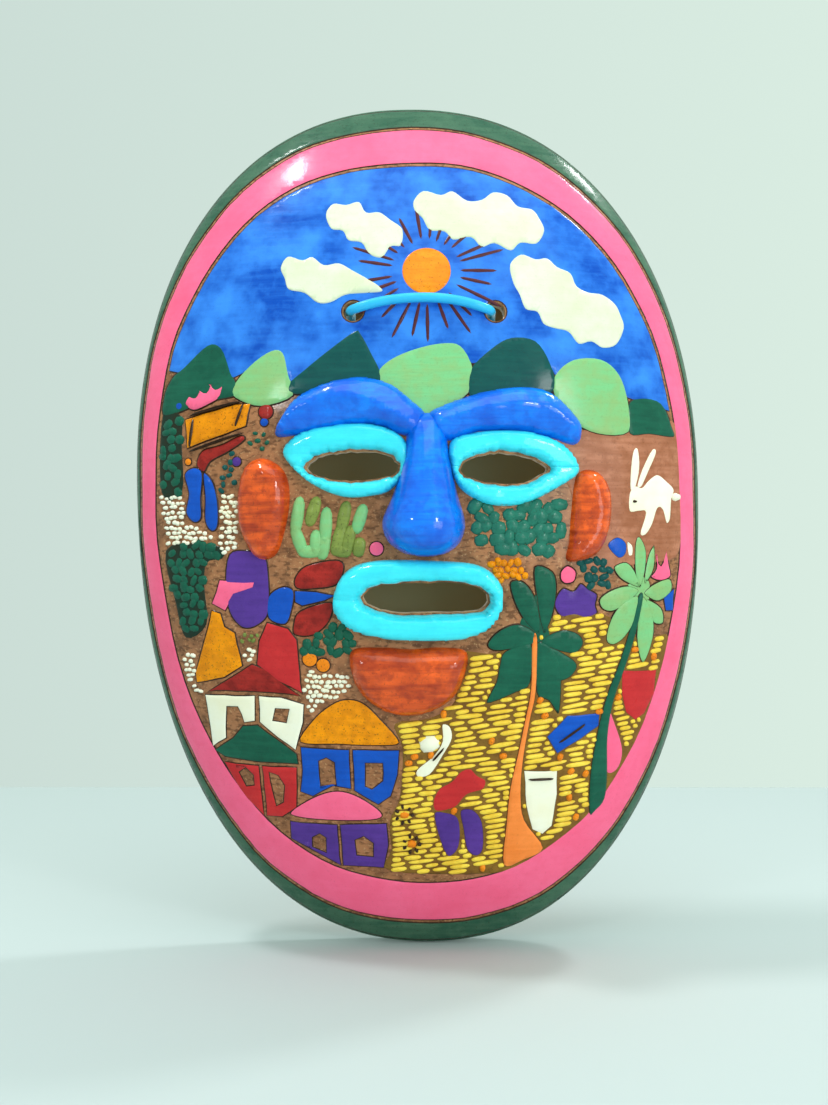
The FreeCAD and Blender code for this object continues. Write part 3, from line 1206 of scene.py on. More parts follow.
@dataclass(frozen=True)
class Nose:
    """The nose: a long wedge that widens to a rounded ball."""

    # z, middle, half width and stand-off of each section
    sections: tuple[tuple[float, float, float, float], ...] = (
        (37.5, 3.0, 4.6, 0.8), (34, 3.0, 6.2, 5.0), (24, 3.0, 7.4, 9.0), (12, 2.6, 10.2, 12.5),
        (2, 2.0, 13.6, 16.0), (-4.5, 2.2, 12.0, 14.0), (-8.2, 2.6, 7.5, 7.0), (-9.4, 2.6, 3.0, 2.0))
    flatness: float = 2.6  # 2 makes its back an ellipse, and more flattens it
    flank: float = 0.72
    ripple: float = 0.3
    step: float = 1.2
    bury: float = 1.2

    def build(self) -> bpy.types.Object:
        """Makes the nose.

        Returns:
            The finished nose.
        """
        piece = Piece("nose_varnished", slot=BLUE_VARNISH.name, replaces=("nose",))
        piece.index(BLUE_VARNISH)
        levels = rounded_line([(z, mid) for z, mid, _, _ in self.sections])
        widths = rounded_line([(z, half) for z, _, half, _ in self.sections])
        heights = rounded_line([(z, off) for z, _, _, off in self.sections])
        right = [(mid + half, z) for (z, mid), (_, half) in zip(levels, widths)]
        left = [(mid - half, z) for (z, mid), (_, half) in zip(levels, widths)]
        bm = fill((left + right[::-1],))
        cut(bm, *even_rows(self.step))
        for vert in bm.verts:
            x, z = vert.co.x, vert.co.z
            mid = reading(levels, z)
            half = max(reading(widths, z), 0.1)
            bow = max(1 - min(abs(x - mid) / half, 1.0) ** self.flatness, 0.0) ** self.flank
            rough = self.ripple * noise.noise(Vector((x, 0, z)) / 7.0)
            vert.co.y = reading(heights, z) * bow + rough * bow
        close_behind(bm, self.bury)
        lay(bm)
        piece.take(bm)
        return piece.finish()


def reading(table: Loop, at: float) -> float:
    """Reads a curve of falling positions and values at a position.

    Args:
        table: pairs of position and value, with positions falling.
        at: the position.

    Returns:
        The value there.
    """
    for (high, a), (low, b) in zip(table, table[1:]):
        if high >= at >= low:
            return a + (b - a) * (high - at) / max(high - low, 1e-6)
    return table[0][1] if at > table[0][0] else table[-1][1]


LEFT_BROW = ((-47, 30.5), (-44.5, 37.5), (-39.5, 43.5), (-29.5, 48), (-18.5, 49.6), (-9.5, 47.5),
             (-2.5, 42.3), (2.6, 37), (1, 30), (-5.5, 30.5), (-13, 33.6), (-22, 34), (-31.5, 32.2),
             (-40, 30.5))
RIGHT_BROW = ((3.6, 37), (8, 40), (14.5, 42.5), (23, 45), (35, 46.6), (43.5, 45), (50, 39.8), (54.5, 33.5),
              (52.5, 27.5), (43.5, 29.8), (34, 31.8), (20, 31.5), (11, 28.5), (5, 30))
LEFT_CHEEK = ((-51.5, 23), (-44.5, 19), (-42.3, 10.5), (-44, -1), (-47.5, -9.5), (-54, -9.8), (-59, -1),
              (-60, 10.5), (-57.5, 20))
RIGHT_CHEEK = ((53, 17.5), (59.5, 18.8), (64.3, 12.4), (64.3, 0.7), (59.8, -9), (50, -11.2), (50.5, -4),
               (51.2, 6))
CHIN = ((-22, -41), (-12.3, -39.8), (-2.5, -40.4), (7.4, -39.8), (16.3, -41.4), (15.3, -50.5), (10.8, -58),
        (1, -62.7), (-9, -62.3), (-17.4, -57.3), (-21.6, -50))


LEFT_BROW_RIDGE = ((-45, 33), (-40, 38), (-32, 41.5), (-24.5, 42.5), (-17, 41), (-9.5, 37.5), (-3, 34))
RIGHT_BROW_RIDGE = ((7, 34), (14.5, 36.5), (22, 38.5), (32.5, 40), (42.5, 39), (50, 33.5))
LEFT_CHEEK_RIDGE = ((-50.5, 19), (-47, 14), (-46.8, 7), (-48.5, 0), (-51, -6))
RIGHT_CHEEK_RIDGE = ((53, -8), (57.5, -3), (59.5, 4), (58.5, 12), (56.5, 16))
CHIN_RIDGE = ((-12, -48), (8, -47))


@dataclass(frozen=True)
class FaceFeatures:
    """The brows, nose, lids, cheeks, lips and chin."""

    brow_relief: float = 6.5
    brow_sharp: float = 0.8
    cheek_relief: float = 5.5
    cheek_sharp: float = 0.75
    chin_relief: float = 6.5
    chin_sharp: float = 0.25
    chin_roll: float = 5.0
    lid_relief: float = 3.2
    lid_seam: float = 20.0
    lip_relief: float = 5.0
    lip_seam: float = -23.5

    def build(self) -> None:
        """Makes every feature in turn."""
        Nose().build()
        sides = (("left", LEFT_BROW, LEFT_BROW_RIDGE, LEFT_CHEEK, LEFT_CHEEK_RIDGE),
                 ("right", RIGHT_BROW, RIGHT_BROW_RIDGE, RIGHT_CHEEK, RIGHT_CHEEK_RIDGE))
        for side, brow, ridge, _, _ in sides:
            Feature(side + "_brow_varnished", (side + "_brow",), brow, ridge,
                    self.brow_relief, BLUE_VARNISH, self.brow_sharp).build()
        for side, _, _, cheek, ridge in sides:
            Feature(side + "_cheek_varnished", (side + "_cheek",), cheek, ridge,
                    self.cheek_relief, RED_VARNISH, self.cheek_sharp).build()
        Feature("chin_varnished", ("chin",), CHIN, CHIN_RIDGE,
                self.chin_relief, RED_VARNISH, self.chin_sharp, roll=self.chin_roll).build()
        rings = (("left", "eyelid", LEFT_EYE, LEFT_SLOT, self.lid_seam, self.lid_relief),
                 ("right", "eyelid", RIGHT_EYE, RIGHT_SLOT, self.lid_seam, self.lid_relief),
                 ("", "lip", LIPS, MOUTH_SLOT, self.lip_seam, self.lip_relief))
        for side, kind, outline, slot, seam, relief in rings:
            for half in Lid:
                node = "_".join(word for word in (side, half.name.lower(), kind) if word)
                Ring(node + "_varnished", (node,), outline, (), relief, TURQUOISE,
                     slot=slot, half=half, seam=seam).build()


# ---- the cord


@dataclass
class HangingCord:
    """The cord through the two holes, with its ends knotted behind."""

    thickness: float = 3.3
    length: float = 166.0
    exit: tuple[float, float, float] = (-22.6, -37.0, 70.0)
    knot_at: tuple[float, float, float] = (-22.6, -37.0, 52.0)
    hinge_at: tuple[float, float, float] = (-22.6, -37.0, 72.2)
    blend_reach: float = 1.6  # a reach on each side of the hinge, in millimetres
    tail_thickness: float = 2.7
    front: tuple[tuple[float, float, float], ...] = (
        (-22.6, -37.3, 72.2), (-22.6, -50.4, 72.2), (-8, -50.4, 76), (10, -50.4, 76.3), (24.6, -50.4, 72.2),
        (24.6, -37.3, 72.2))
    short: tuple[tuple[float, float, float], ...] = ((-22.6, -37, 52), (-22.6, -37, 61))
    long: tuple[tuple[float, float, float], ...] = (
        (25, -37, 56), (20, -37, 42.5), (8, -37, 34.8), (-6.5, -37, 34.2), (-17, -37, 39.5), (-22, -37, 50))

    @staticmethod
    def frame_place(spot: Sequence[float]) -> Vector:
        """Moves a point from the oval's middle to the model's frame, in metres."""
        return Vector((spot[0] - NAIL_X, spot[1], spot[2] - NAIL_Z)) * MM

    def spline(self, name: str, points: Sequence[Sequence[float]]) -> bpy.types.Object:
        """Makes one smooth open line.

        Args:
            name: the curve's name.
            points: its control points, in millimetres from the oval's middle.

        Returns:
            The curve's object.
        """
        data = bpy.data.curves.new(name, "CURVE")
        data.dimensions = "3D"
        line = data.splines.new("NURBS")
        line.points.add(len(points) - 1)
        for control, spot in zip(line.points, points):
            control.co = (*self.frame_place(spot), 1.0)
        line.order_u = 3
        line.use_endpoint_u = True
        line.resolution_u = 12
        made = bpy.data.objects.new(name, data)
        bpy.context.scene.collection.objects.link(made)
        return made

    def tube(self, name: str, points: Sequence[Sequence[float]],
             width: float) -> tuple[bmesh.types.BMesh, list[Vector]]:
        """Makes a closed round tube along a smooth line.

        Args:
            name: a name for the line.
            points: its control points.
            width: the tube's thickness in millimetres.

        Returns:
            The tube, and the points of the line that it follows.
        """
        made = self.spline(name, points)
        bpy.context.view_layer.update()
        bare = bpy.data.meshes.new_from_object(made)
        path = [v.co.copy() for v in bare.vertices]
        made.data.bevel_depth = width / 2 * MM
        made.data.bevel_resolution = 5
        made.data.use_fill_caps = True
        bpy.context.view_layer.update()
        skin = bpy.data.meshes.new_from_object(made)
        bm = bmesh.new()
        bm.from_mesh(skin)
        bmesh.ops.remove_doubles(bm, verts=bm.verts[:], dist=1e-6)
        for data in (bare, skin):
            bpy.data.meshes.remove(data)
        curve = made.data
        bpy.data.objects.remove(made)
        bpy.data.curves.remove(curve)
        return bm, path

    def build(self) -> None:
        """Makes the cord and its knot."""
        cord = Piece("cord_through_holes", slot="cord", body="",
                     replaces=("cord_front_run", "cord_short_strand", "cord_long_strand"))
        cord.index(CORD_BLUE)
        bm, path = self.tube("cord_line", (*self.short, *self.front, *self.long), self.thickness)
        cord.take(bm)
        cord_object = cord.finish()
        knot = Piece("cord_knot_tied", slot="cord", body="cord_loop", replaces=("cord_knot",))
        knot.index(CORD_BLUE)
        for turn in self.knot_turns():
            knot.take(self.tube("knot_line", turn, self.tail_thickness)[0])
        knot_object = knot.finish()
        hinge = Vector(self.hinge_at)
        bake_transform(cord_object)
        tuple(self.frame_place(self.exit))
        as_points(path)

    def knot_turns(self) -> list[list[tuple[float, float, float]]]:
        """Works out the knot's lines.

        Returns:
            One overhand turn round the strands, and the two cut tails.
        """
        x, y, z = self.knot_at
        turns = []
        for step in range(25):
            t = 2 * math.pi * step / 24
            turns.append((x + 1.05 * (math.sin(t) + 1.1 * math.sin(2 * t)), y + 1.25 * -math.sin(3 * t),
                          z + 1.15 * (math.cos(t) - 1.1 * math.cos(2 * t))))
        routes = (((0, 0, 0), (-0.6, 0.6, -3.6), (-1.4, 1.6, -7.0), (-3.0, 2.4, -9.6)),
                  ((0, 0, 0), (-3.4, 0.8, 0.6), (-6.6, 2.0, 2.2), (-9.2, 2.8, 1.6)))
        return [turns] + [[(x + a, y + b, z + c) for a, b, c in route] for route in routes]


# ---- the painted bands and sky


@dataclass
class PaintedBands:
    """The two bands round the rim, green outside and pink inside."""

    # each oval's share of the dish at its sides, top and bottom
    pink_inner: tuple[float, float, float] = (0.905, 0.83, 0.84)
    pink_outer: tuple[float, float, float] = (0.974, 0.93, 0.944)
    green_outer: tuple[float, float, float] = (0.996, 0.996, 0.996)
    apart: float = 0.005  # bare clay left between the bands, as a share
    wander: float = 1.0
    line: float = 0.45

    def build(self) -> None:
        """Makes both bands."""
        green_inner = [share + self.apart for share in self.pink_outer]
        bands = (("pink_band", PINK, self.pink_outer, self.wander, self.pink_inner),
                 ("green_band", RIM_GREEN, self.green_outer, 0.0, green_inner))
        for name, paint, outer, wander, inner in bands:
            piece = Piece(name)
            hole = self.hand_drawn(inner, self.wander)
            edge = self.hand_drawn(outer, wander)
            Film(paint, edge, Corners.CRISP, line=self.line, holes=(hole,)).cut_out(piece)
            piece.finish()

    def within(self, gap: float) -> Loop:
        """Draws the oval just inside the pink band, a share of the dish away from it."""
        return self.hand_drawn([share - gap for share in self.pink_inner], self.wander)

    @staticmethod
    def hand_drawn(shares: Sequence[float], wander: float) -> Loop:
        """Draws an oval as a hand does, wandering a little.

        Args:
            shares: the oval's shares of the dish at its sides, top and bottom.
            wander: how far it may stray, in millimetres.

        Returns:
            The oval's points.
        """
        loop = []
        for x, z in DISH.oval(*shares, 110):
            stray = wander * noise.noise(Vector((x, z, 4.0)) / 26.0)
            length = math.hypot(x, z)
            loop.append((x + stray * x / length, z + stray * z / length))
        return loop


@dataclass(frozen=True)
class Sky:
    """The sky with its sun and clouds, above the hills."""

    left_end: float = 50.0  # the sky starts from these heights at its two ends
    right_end: float = 39.0
    gap: float = 0.006  # bare clay left inside the pink band, as a share
    hole_gap: float = 0.3
    ray_count: int = 25
    ray_width: float = 1.5
    long_ray: float = 27.0
    short_ray: float = 23.5
    ray_start: float = 9.8
    ray_clear: float = 8.0  # no ray's middle is nearer than this to a cord hole
    sun_radius: float = 8.6
    floor: tuple[Point, ...] = (
        (-80, 52), (-62, 50), (-50, 55), (-40, 46), (-25, 58), (-12, 50), (0, 54), (14, 54), (24, 54),
        (40, 58), (46, 50), (60, 53), (70, 44), (80, 41))
    sun_at: Point = (3.0, 86.0)
    clouds: tuple[tuple[Point, ...], ...] = (
        ((-31.5, 107), (-29, 111), (-24.5, 110.5), (-20, 111.5), (-17.5, 107.5), (-13, 107.5), (-9, 104.5),
         (-5, 101), (-5.5, 95), (-9, 94.5), (-12, 90.5), (-16.5, 92), (-19, 96), (-23.5, 97), (-25.5, 100.5),
         (-29.5, 101.5)),
        ((-1.5, 111.5), (2, 115.5), (8, 114), (12, 115.5), (17, 112), (22, 112.5), (26, 115.5), (31, 114.5),
         (34.5, 110.5), (39.5, 109.5), (42, 106), (43.5, 101.5), (40.5, 96.5), (35, 96.5), (31.5, 93.5),
         (26, 96), (21.5, 94.5), (18, 98), (12, 97), (9, 100), (4, 100.5), (1.5, 105), (-1, 107.5)),
        ((-46.5, 88), (-44, 92), (-39, 90.5), (-35.5, 91.5), (-31.5, 88.5), (-26.5, 89), (-22, 86.5),
         (-17, 83.5), (-12.5, 80.5), (-12, 78.5), (-18, 78), (-24, 77.5), (-29, 75), (-33.5, 75),
         (-38, 78.5), (-43.5, 80), (-45, 84)),
        ((31, 88.5), (35, 92.5), (40, 91), (44, 91.5), (47.5, 88.5), (52, 86.5), (54, 82), (58, 80),
         (63, 79.5), (67.5, 76.5), (69.5, 72.5), (70.5, 68), (67.5, 62), (62.5, 60.5), (58.5, 62.5),
         (54, 61.5), (50.5, 65.5), (46, 66.5), (42, 68), (40, 72), (36, 73), (34, 78), (32, 82)))

    def build(self) -> None:
        """Makes the sky and what is in it."""
        arc = [(x, z) for x, z in PaintedBands().within(self.gap)
               if z > (self.left_end if x < 0 else self.right_end)]
        holes = tuple(circle(x, z, HOLE_RADIUS + self.hole_gap, 20) for x, z in HOLES)
        piece = Piece("sky")
        Film(SKY, arc + list(self.floor), Corners.CRISP, line=0.35, holes=holes).cut_out(piece)
        piece.finish()
        self.rays()
        piece = Piece("sun_disc")
        Film(SUN, circle(*self.sun_at, self.sun_radius, 20), level=2, line=0.45).cut_out(piece)
        piece.finish()
        piece = Piece("clouds")
        for outline in self.clouds:
            Film(CLOUD, outline, level=2, line=0.0).cut_out(piece)
        piece.finish()

    def rays(self) -> None:
        """Makes the sun's rays, long and short in turn."""
        piece = Piece("sun_rays")
        hand = random.Random(5)
        for step in range(self.ray_count):
            turn = 360 * step / self.ray_count + hand.uniform(-3, 3)
            near = self.ray_start + hand.uniform(0, 1.0)
            far = (self.long_ray if step % 2 else self.short_ray) + hand.uniform(-1.5, 1.5)
            middle = (near + far) / 2
            at = (self.sun_at[0] + middle * math.cos(math.radians(turn)),
                  self.sun_at[1] + middle * math.sin(math.radians(turn)))
            if all(math.dist(at, hole) > self.ray_clear for hole in HOLES):
                Dab(RAY, at, far - near, self.ray_width, turn, lift=0.5).press(piece)
        piece.finish()


# ---- the painted village

R = Corners.ROUND
C = Corners.CRISP

HILLS = (
    (PINE, ((-88, 45), (-85, 51.5), (-80, 55.5), (-71.5, 62.5), (-66, 61), (-62.5, 52.5), (-60, 44.5),
            (-72, 42), (-87, 38))),
    (LEAF, ((-62.5, 47), (-56.5, 54.5), (-49, 59.5), (-44.5, 58.5), (-42.5, 51), (-41, 43.5), (-52, 40),
            (-61, 43))),
    (TEAL, ((-43, 48), (-38, 52.5), (-30, 59), (-21, 65.5), (-18.5, 64.5), (-15, 58), (-11.5, 50), (-14, 44),
            (-30, 44), (-42, 44))),
    (LEAF, ((-13.5, 51.5), (-9, 56), (-1, 59.5), (8, 61.5), (14.5, 60.5), (18.5, 53), (17, 44), (4, 36),
            (-8, 40), (-13, 46))),
    (TEAL, ((17, 52), (24, 59.5), (31, 63.5), (39.5, 62.5), (44.5, 55), (46, 46), (38, 42), (26, 41),
            (17, 43))),
    (LEAF, ((45.5, 51), (52, 56.5), (62, 57), (68.5, 52), (71.5, 43), (71.5, 32), (60, 31), (50, 36),
            (45, 44))),
    (PINE, ((71, 41.5), (76, 44.5), (84, 43), (88, 35), (88.5, 31), (79, 31.5), (71.5, 31.5))))

FOLIAGE = ((-88, 40), (-81, 38), (-80.5, 28), (-80.5, 12), (-88.5, 12))
BUSH = ((-87, -8), (-74, -5.5), (-65.5, -7), (-66, -10.5), (-71.5, -12), (-72.5, -20), (-72, -33), (-80, -38),
        (-83.5, -26))

DRUMMER = (
    (AMBER, C, ((-78.5, 26.5), (-57, 33.5), (-55.5, 41.5), (-61, 41.5), (-79.5, 37))),
    (BRICK, R, ((-75, 21), (-73, 26), (-66, 28), (-59, 31), (-57.5, 29), (-63.5, 25), (-69.5, 22),
                (-72, 18.5))),
    (COBALT, R, ((-79.5, 18), (-76, 20.5), (-72.5, 18.5), (-73, 10), (-73, 3), (-76, 1.5), (-79, 5),
                 (-78, 11.5))),
    (COBALT, R, ((-72.5, 18.5), (-69, 16), (-67, 9), (-67, 0.5), (-69.5, -1.5), (-72, 2), (-72, 10))),
    (PINK, R, ((-79.5, 42), (-78, 45), (-75.5, 44.5), (-74, 47), (-71.5, 46), (-70, 49), (-68, 47),
               (-65.5, 48), (-66, 44), (-70, 41.5), (-76, 39.5))))
WATER_CARRIER = (
    (VIOLET, R, ((-63.5, -9), (-57, -7.5), (-51, -9.5), (-49.5, -15), (-49.5, -28), (-53.5, -33), (-59, -34),
                 (-63.5, -29), (-65, -20))),
    (PINK, C, ((-67, -17.5), (-54, -18), (-54.5, -20.5), (-61.5, -23), (-65, -28.5), (-70, -26))),
    (AMBER, C, ((-70, -28), (-66.5, -29), (-65, -33.5), (-61.5, -35.5), (-59, -47), (-66, -51.5),
                (-76.5, -54), (-77, -50), (-73, -38))))
DANCER = (
    (BRICK, R, ((-41, -17), (-37, -12.5), (-27, -10.5), (-24, -13), (-26.5, -19), (-33.5, -20.5),
                (-40, -20.5))),
    (BRICK, R, ((-39, -27.5), (-28.5, -24.5), (-29, -31), (-34.5, -36), (-41, -36), (-41.5, -32))),
    (COBALT, R, ((-50, -23), (-45, -19.5), (-41, -21), (-41.5, -27), (-44, -32.5), (-50, -30.5))),
    (COBALT, C, ((-41, -20.8), (-33.5, -21), (-27, -22.5), (-30.5, -24.5), (-38.5, -26.5), (-41, -25))),
    (ROSE, C, ((-50.5, -31.5), (-43, -33.5), (-40, -37.5), (-38.5, -56), (-47, -52), (-54.5, -46.5),
               (-53.5, -38))))
LEFT_DOTS = ((COBALT, -81.5, 41.5, 1.9), (SUN, -78, 22.3, 1.5), (VIOLET, -60.5, 22, 1.9),
             (BRICK, -50.5, 38.5, 2.8),
             (COBALT, -51, 35, 1.7), (PINK, -13.5, -7, 2.6), (SUN, -36, -44, 2.8), (SUN, -31.5, -46, 2.6))

HOUSES = {
    "white_house": (
        (BRICK, C, ((-72.5, -56.5), (-64, -51), (-56, -46), (-51.5, -47.5), (-39, -57), (-47, -56),
                    (-62, -56))),
        (LIME, C, ((-73.5, -57.5), (-55, -57), (-55.3, -66.3), (-59.5, -67), (-60.5, -64), (-61.5, -61.5),
                   (-65.3, -61.5), (-66, -73), (-71.5, -76.5))),
        (LIME, C, ((-54, -57), (-46, -57), (-38, -59.5), (-38.5, -66), (-41.5, -76), (-47.5, -72),
                   (-54, -66.5)))),
    "green_roof_house": (
        (PINE, C, ((-71, -77.5), (-64, -72.5), (-60, -67.8), (-54.5, -67.3), (-48, -72), (-41, -77),
                   (-40.5, -81), (-55, -81), (-67, -80))),
        (ROSE, C, ((-67.5, -81.5), (-54.5, -82), (-53.5, -101), (-60, -95), (-64.5, -88))),
        (ROSE, C, ((-53.7, -82), (-41, -81.8), (-41.5, -97), (-47, -101), (-52.8, -101)))),
    "amber_dome_house": (
        (AMBER, R, ((-40, -73), (-35.5, -65), (-30, -60), (-24.5, -57.5), (-18.5, -58.5), (-12.5, -64),
                    (-6, -72.5), (-14, -73.8), (-27, -73.5))),
        (COBALT, C, ((-40, -74.5), (-23, -75), (-22.6, -89.5), (-29, -88.5), (-36, -92.5), (-40.5, -91),
                     (-39.5, -83))),
        (COBALT, C, ((-22.2, -75), (-6, -75), (-6.5, -84), (-9, -92), (-13.5, -95), (-21.8, -90)))),
    "pink_roof_house": (
        (PINK, R, ((-44, -98.5), (-35.5, -92.5), (-27.5, -90), (-20, -92), (-12.5, -97.5), (-14, -100.5),
                   (-27, -101.3), (-41, -100.7))),
        (VIOLET, C, ((-44.5, -102), (-27.5, -102.5), (-26.8, -118.5), (-36, -113.5), (-44.5, -109))),
        (VIOLET, C, ((-26.9, -102.5), (-10.5, -101.7), (-9.8, -110), (-11.5, -119), (-26.2, -118.5))))}
OPENINGS = {
    "white_house": (((-48, -61.5), (-43.5, -61.5), (-44.5, -66), (-49, -65.5)),),
    "green_roof_house": (((-62, -85), (-59.5, -83.5), (-57, -86), (-57, -89.5), (-59.5, -90)),
                         ((-51, -84.5), (-48, -85.5), (-46, -89), (-46.5, -95), (-49, -96.5), (-50, -91))),
    "amber_dome_house": (((-33.5, -79.5), (-31, -78.5), (-28.5, -80), (-28, -88), (-33, -88.6)),
                         ((-17.5, -80), (-12, -80), (-12, -86), (-15.5, -89), (-17.5, -88))),
    "pink_roof_house": (((-36.5, -108), (-34, -106.5), (-32, -108), (-32, -113.5), (-36.5, -111.5)),
                        ((-21.5, -108.5), (-18.5, -107), (-15.5, -109.5), (-15.5, -114.5), (-21, -114)))}

DARK_HEART = ((35.5, -28), (40, -22), (43, -30), (44.5, -38), (42, -45), (38.8, -47), (35, -44), (32.5, -38))
LIGHT_HEART = ((72, -18), (75.5, -16), (79, -18.5), (79.5, -24), (76.5, -27.5), (73, -27), (70.5, -23))
DARK_PALM = (
    ((30.5, -18), (35.5, -18), (40, -25), (41, -35.5), (36, -32), (32, -25)),
    ((38.5, -13), (45, -14.5), (46.5, -21), (45, -30), (42.5, -35.5), (41, -33), (39.5, -25)),
    ((23, -38.5), (27, -34), (33.5, -31.8), (39.5, -35), (39, -39), (31, -40.8), (25, -41)),
    ((42, -36.5), (48.5, -34), (54, -35.5), (56, -39), (53, -42.5), (47, -41.5), (41.5, -39)),
    ((29, -41), (38, -38.5), (38, -52), (33, -55.5), (23, -59), (26, -51.5), (27, -46)),
    ((39.5, -38.5), (46, -41), (48.5, -48), (48, -63), (44, -58.5), (39.7, -55.5)),
    ((43.5, -40), (51.5, -43.5), (54, -47), (51, -51), (46, -51)))
LIGHT_PALM = (
    ((73.5, -5), (75.5, -3), (78, -8), (77.5, -16), (75.5, -21), (73.5, -15)),
    ((78.5, -9), (81, -6), (81, -14), (77.5, -19.5), (77, -16)),
    ((66, -13), (70.5, -11.5), (74, -15), (75.5, -20.5), (70, -18.5), (67, -16)),
    ((61, -24), (65, -21), (71, -19.5), (75.5, -21.5), (71.5, -25.5), (66, -28.5), (62, -27.5)),
    ((63.5, -38), (65, -31), (69, -25.5), (75, -23), (75, -30), (71, -37), (66.5, -40)),
    ((76, -23.5), (80, -27.5), (81.5, -36), (79, -45), (76.5, -46), (74.5, -37)),
    ((77.5, -24), (84, -27.5), (85, -33), (81, -33), (78, -28)),
    ((77, -22), (81, -19), (87, -17.5), (88, -22), (83, -25.5), (78.5, -24)))
DARK_TRUNK = ((75, -23), (77, -24), (74, -38), (70.5, -49), (67, -60), (65.5, -72), (66, -86), (65.5, -95),
              (62.5, -99), (60, -100), (59.5, -86), (61.5, -70), (64.5, -57), (68.5, -46), (72.5, -33))
ORANGE_TRUNK = ((38, -37), (40, -37), (39.8, -55), (38, -65), (36, -79), (35.5, -91), (37, -101), (44, -112),
                (37, -116.5), (30, -118), (30.5, -102), (31.5, -89), (34, -76), (36, -65), (37.8, -54))
BLUSH_PATCH = ((42, 28), (57, 33), (72, 35), (90, 36), (93, 16), (91, -8), (82, -12), (72, -13), (60, -15),
               (50, -8), (52, 4), (50, 14))
RABBIT = (
    ((71.5, 11.5), (73.5, 14), (76, 13.5), (78.5, 16), (82, 18), (86, 15.5), (88.5, 13), (87.5, 9.5), (87, 3),
     (85.5, 1.5), (84, 6), (82, 6.5), (80, 1), (77.5, -2.5), (75.5, -2), (77.5, 5), (75, 5.5), (71.5, 5.5)),
    ((73, 26), (74.7, 26.5), (75.2, 20), (73.5, 13), (71.8, 13), (72, 20)),
    ((80, 26.5), (81.5, 25.5), (78.5, 19), (76, 14), (74.3, 14), (76.3, 20)))
FARMER = (
    (ROSE, R, ((5, -94), (7, -89), (11.5, -86), (14.5, -82.5), (18, -81.5), (20.5, -84), (23.5, -86),
               (22.5, -89.5), (17, -91.5), (13, -96), (6.5, -97.5))),
    (VIOLET, R, ((5.5, -98), (10, -97.5), (14, -99.5), (15, -106), (14, -112), (10.5, -114.5), (7.5, -108))),
    (VIOLET, R, ((14.5, -97), (19, -96.5), (22.5, -101.5), (23, -111.5), (20.5, -114.5), (17, -112),
                 (15.5, -104))),
    (LIME, R, ((8, -66), (11, -66.5), (12, -71), (9, -77), (4.5, -84), (0, -85), (-0.5, -82), (5, -77),
               (8, -72))))
GARDEN = (
    (VIOLET, R, ((46, -23), (48.5, -20), (52, -21), (54.5, -18.5), (57.5, -20.5), (60.5, -22.5), (60, -26),
                 (60.5, -29), (56.5, -30.5), (52.5, -29.5), (48, -30), (45.5, -26.5))),
    (PINK, R, ((47.5, -14.5), (50, -12.5), (53, -14.5), (52.5, -18), (49.5, -19), (47.5, -17.5))),
    (COBALT, C, ((43.5, -71), (50.5, -63.5), (62.5, -63), (62.5, -68), (56, -72.5), (47.5, -77.5))),
    (PINK, R, ((64.8, -61), (68.5, -68), (71.5, -77), (70.5, -83.5), (67, -86), (64, -83), (63, -74))),
    (ROSE, C, ((69.5, -48.5), (83, -49), (82.5, -58), (79, -65), (75.5, -67), (71.5, -64), (69.5, -57))),
    (LIME, C, ((36, -82.5), (48, -83), (48.5, -92), (47, -104), (43.5, -107), (39.5, -105), (37, -96))),
    (PINK, R, ((79.5, -17), (81.5, -14), (81.5, -8.5), (83.5, -13), (85.5, -7.5), (87, -13), (87.5, -17),
               (83.5, -18.5))),
    (COBALT, C, ((84.5, -24), (89, -21), (89, -29), (85.5, -29))),
    (COBALT, R, ((63.5, -6), (67, -3), (70.5, -5), (70.5, -9), (67.5, -10.5))),
    (LIME, R, ((70.5, -4.5), (73, -6), (73, -9.5), (71, -9.5))))
CACTUS = (((-39, 8.5), (-40.5, -1), (-38, -8), (-33.5, -8), (-33.5, -2.5)), ((-33.5, 8.5), (-35.5, 2)),
          ((-30, 5), (-30.5, -4), (-31.5, -9)), ((-23.5, 7), (-25, 0), (-27, -7.5), (-23.5, -8), (-22, -1)),
          ((-18, 6), (-20, -0.5)), ((-19, -5), (-19.5, -8)))
FIELD = ((14, -42), (27, -41.5), (44, -30), (62, -29), (76, -38), (88, -38), (88, -56), (84, -76), (75, -93),
         (61, -110), (43, -119), (22, -121.5), (-10, -120), (-9, -112), (-9.5, -101), (-6, -92), (-5, -75),
         (-7.5, -66), (4, -64), (12.5, -58))
COBBLED = (
    ((-88.5, 11), (-80, 11), (-79.5, 1), (-73, -1), (-68, -4), (-74, -5), (-86, -7)),
    ((-66, 12), (-60.5, 11), (-60.5, -6), (-64, -12), (-66.5, -6)),
    ((-38.5, -48), (-28, -49), (-23.5, -48), (-22, -55), (-33, -59), (-36.5, -63.5), (-38, -56)),
    ((-59, -40), (-54.5, -40), (-54.5, -45), (-58.5, -45)),
    ((-81.5, -44.5), (-77, -43), (-77, -49), (-76, -55), (-73, -57), (-78, -58), (-80, -54)))
MARKS = (  # paint, middle, length, width and turn: the drum's straps, the rabbit's eye and tail, the hat
    (DRAWN, (-76.5, 32), 10.5, 0.9, 82), (DRAWN, (-59.5, 37.5), 9, 0.9, 70),
    (DRAWN, (-68, 40.2), 20, 0.9, 13), (DRAWN, (-68, 28.7), 21, 0.9, 17), (DRAWN, (73.2, 8.8), 1.1, 1.0, 0),
    (LIME, (89, 10.5), 3.0, 3.0, 0), (LIME, (4, -73), 7.2, 6.2, 20), (DRAWN, (7, -76.5), 6.5, 0.6, 50),
    (DRAWN, (42.2, -86), 9.5, 0.7, 0), (DRAWN, (52.5, -70), 12, 0.6, 35))
SUNFLOWERS = ((-4.5, -98.5), (-2, -109.5))


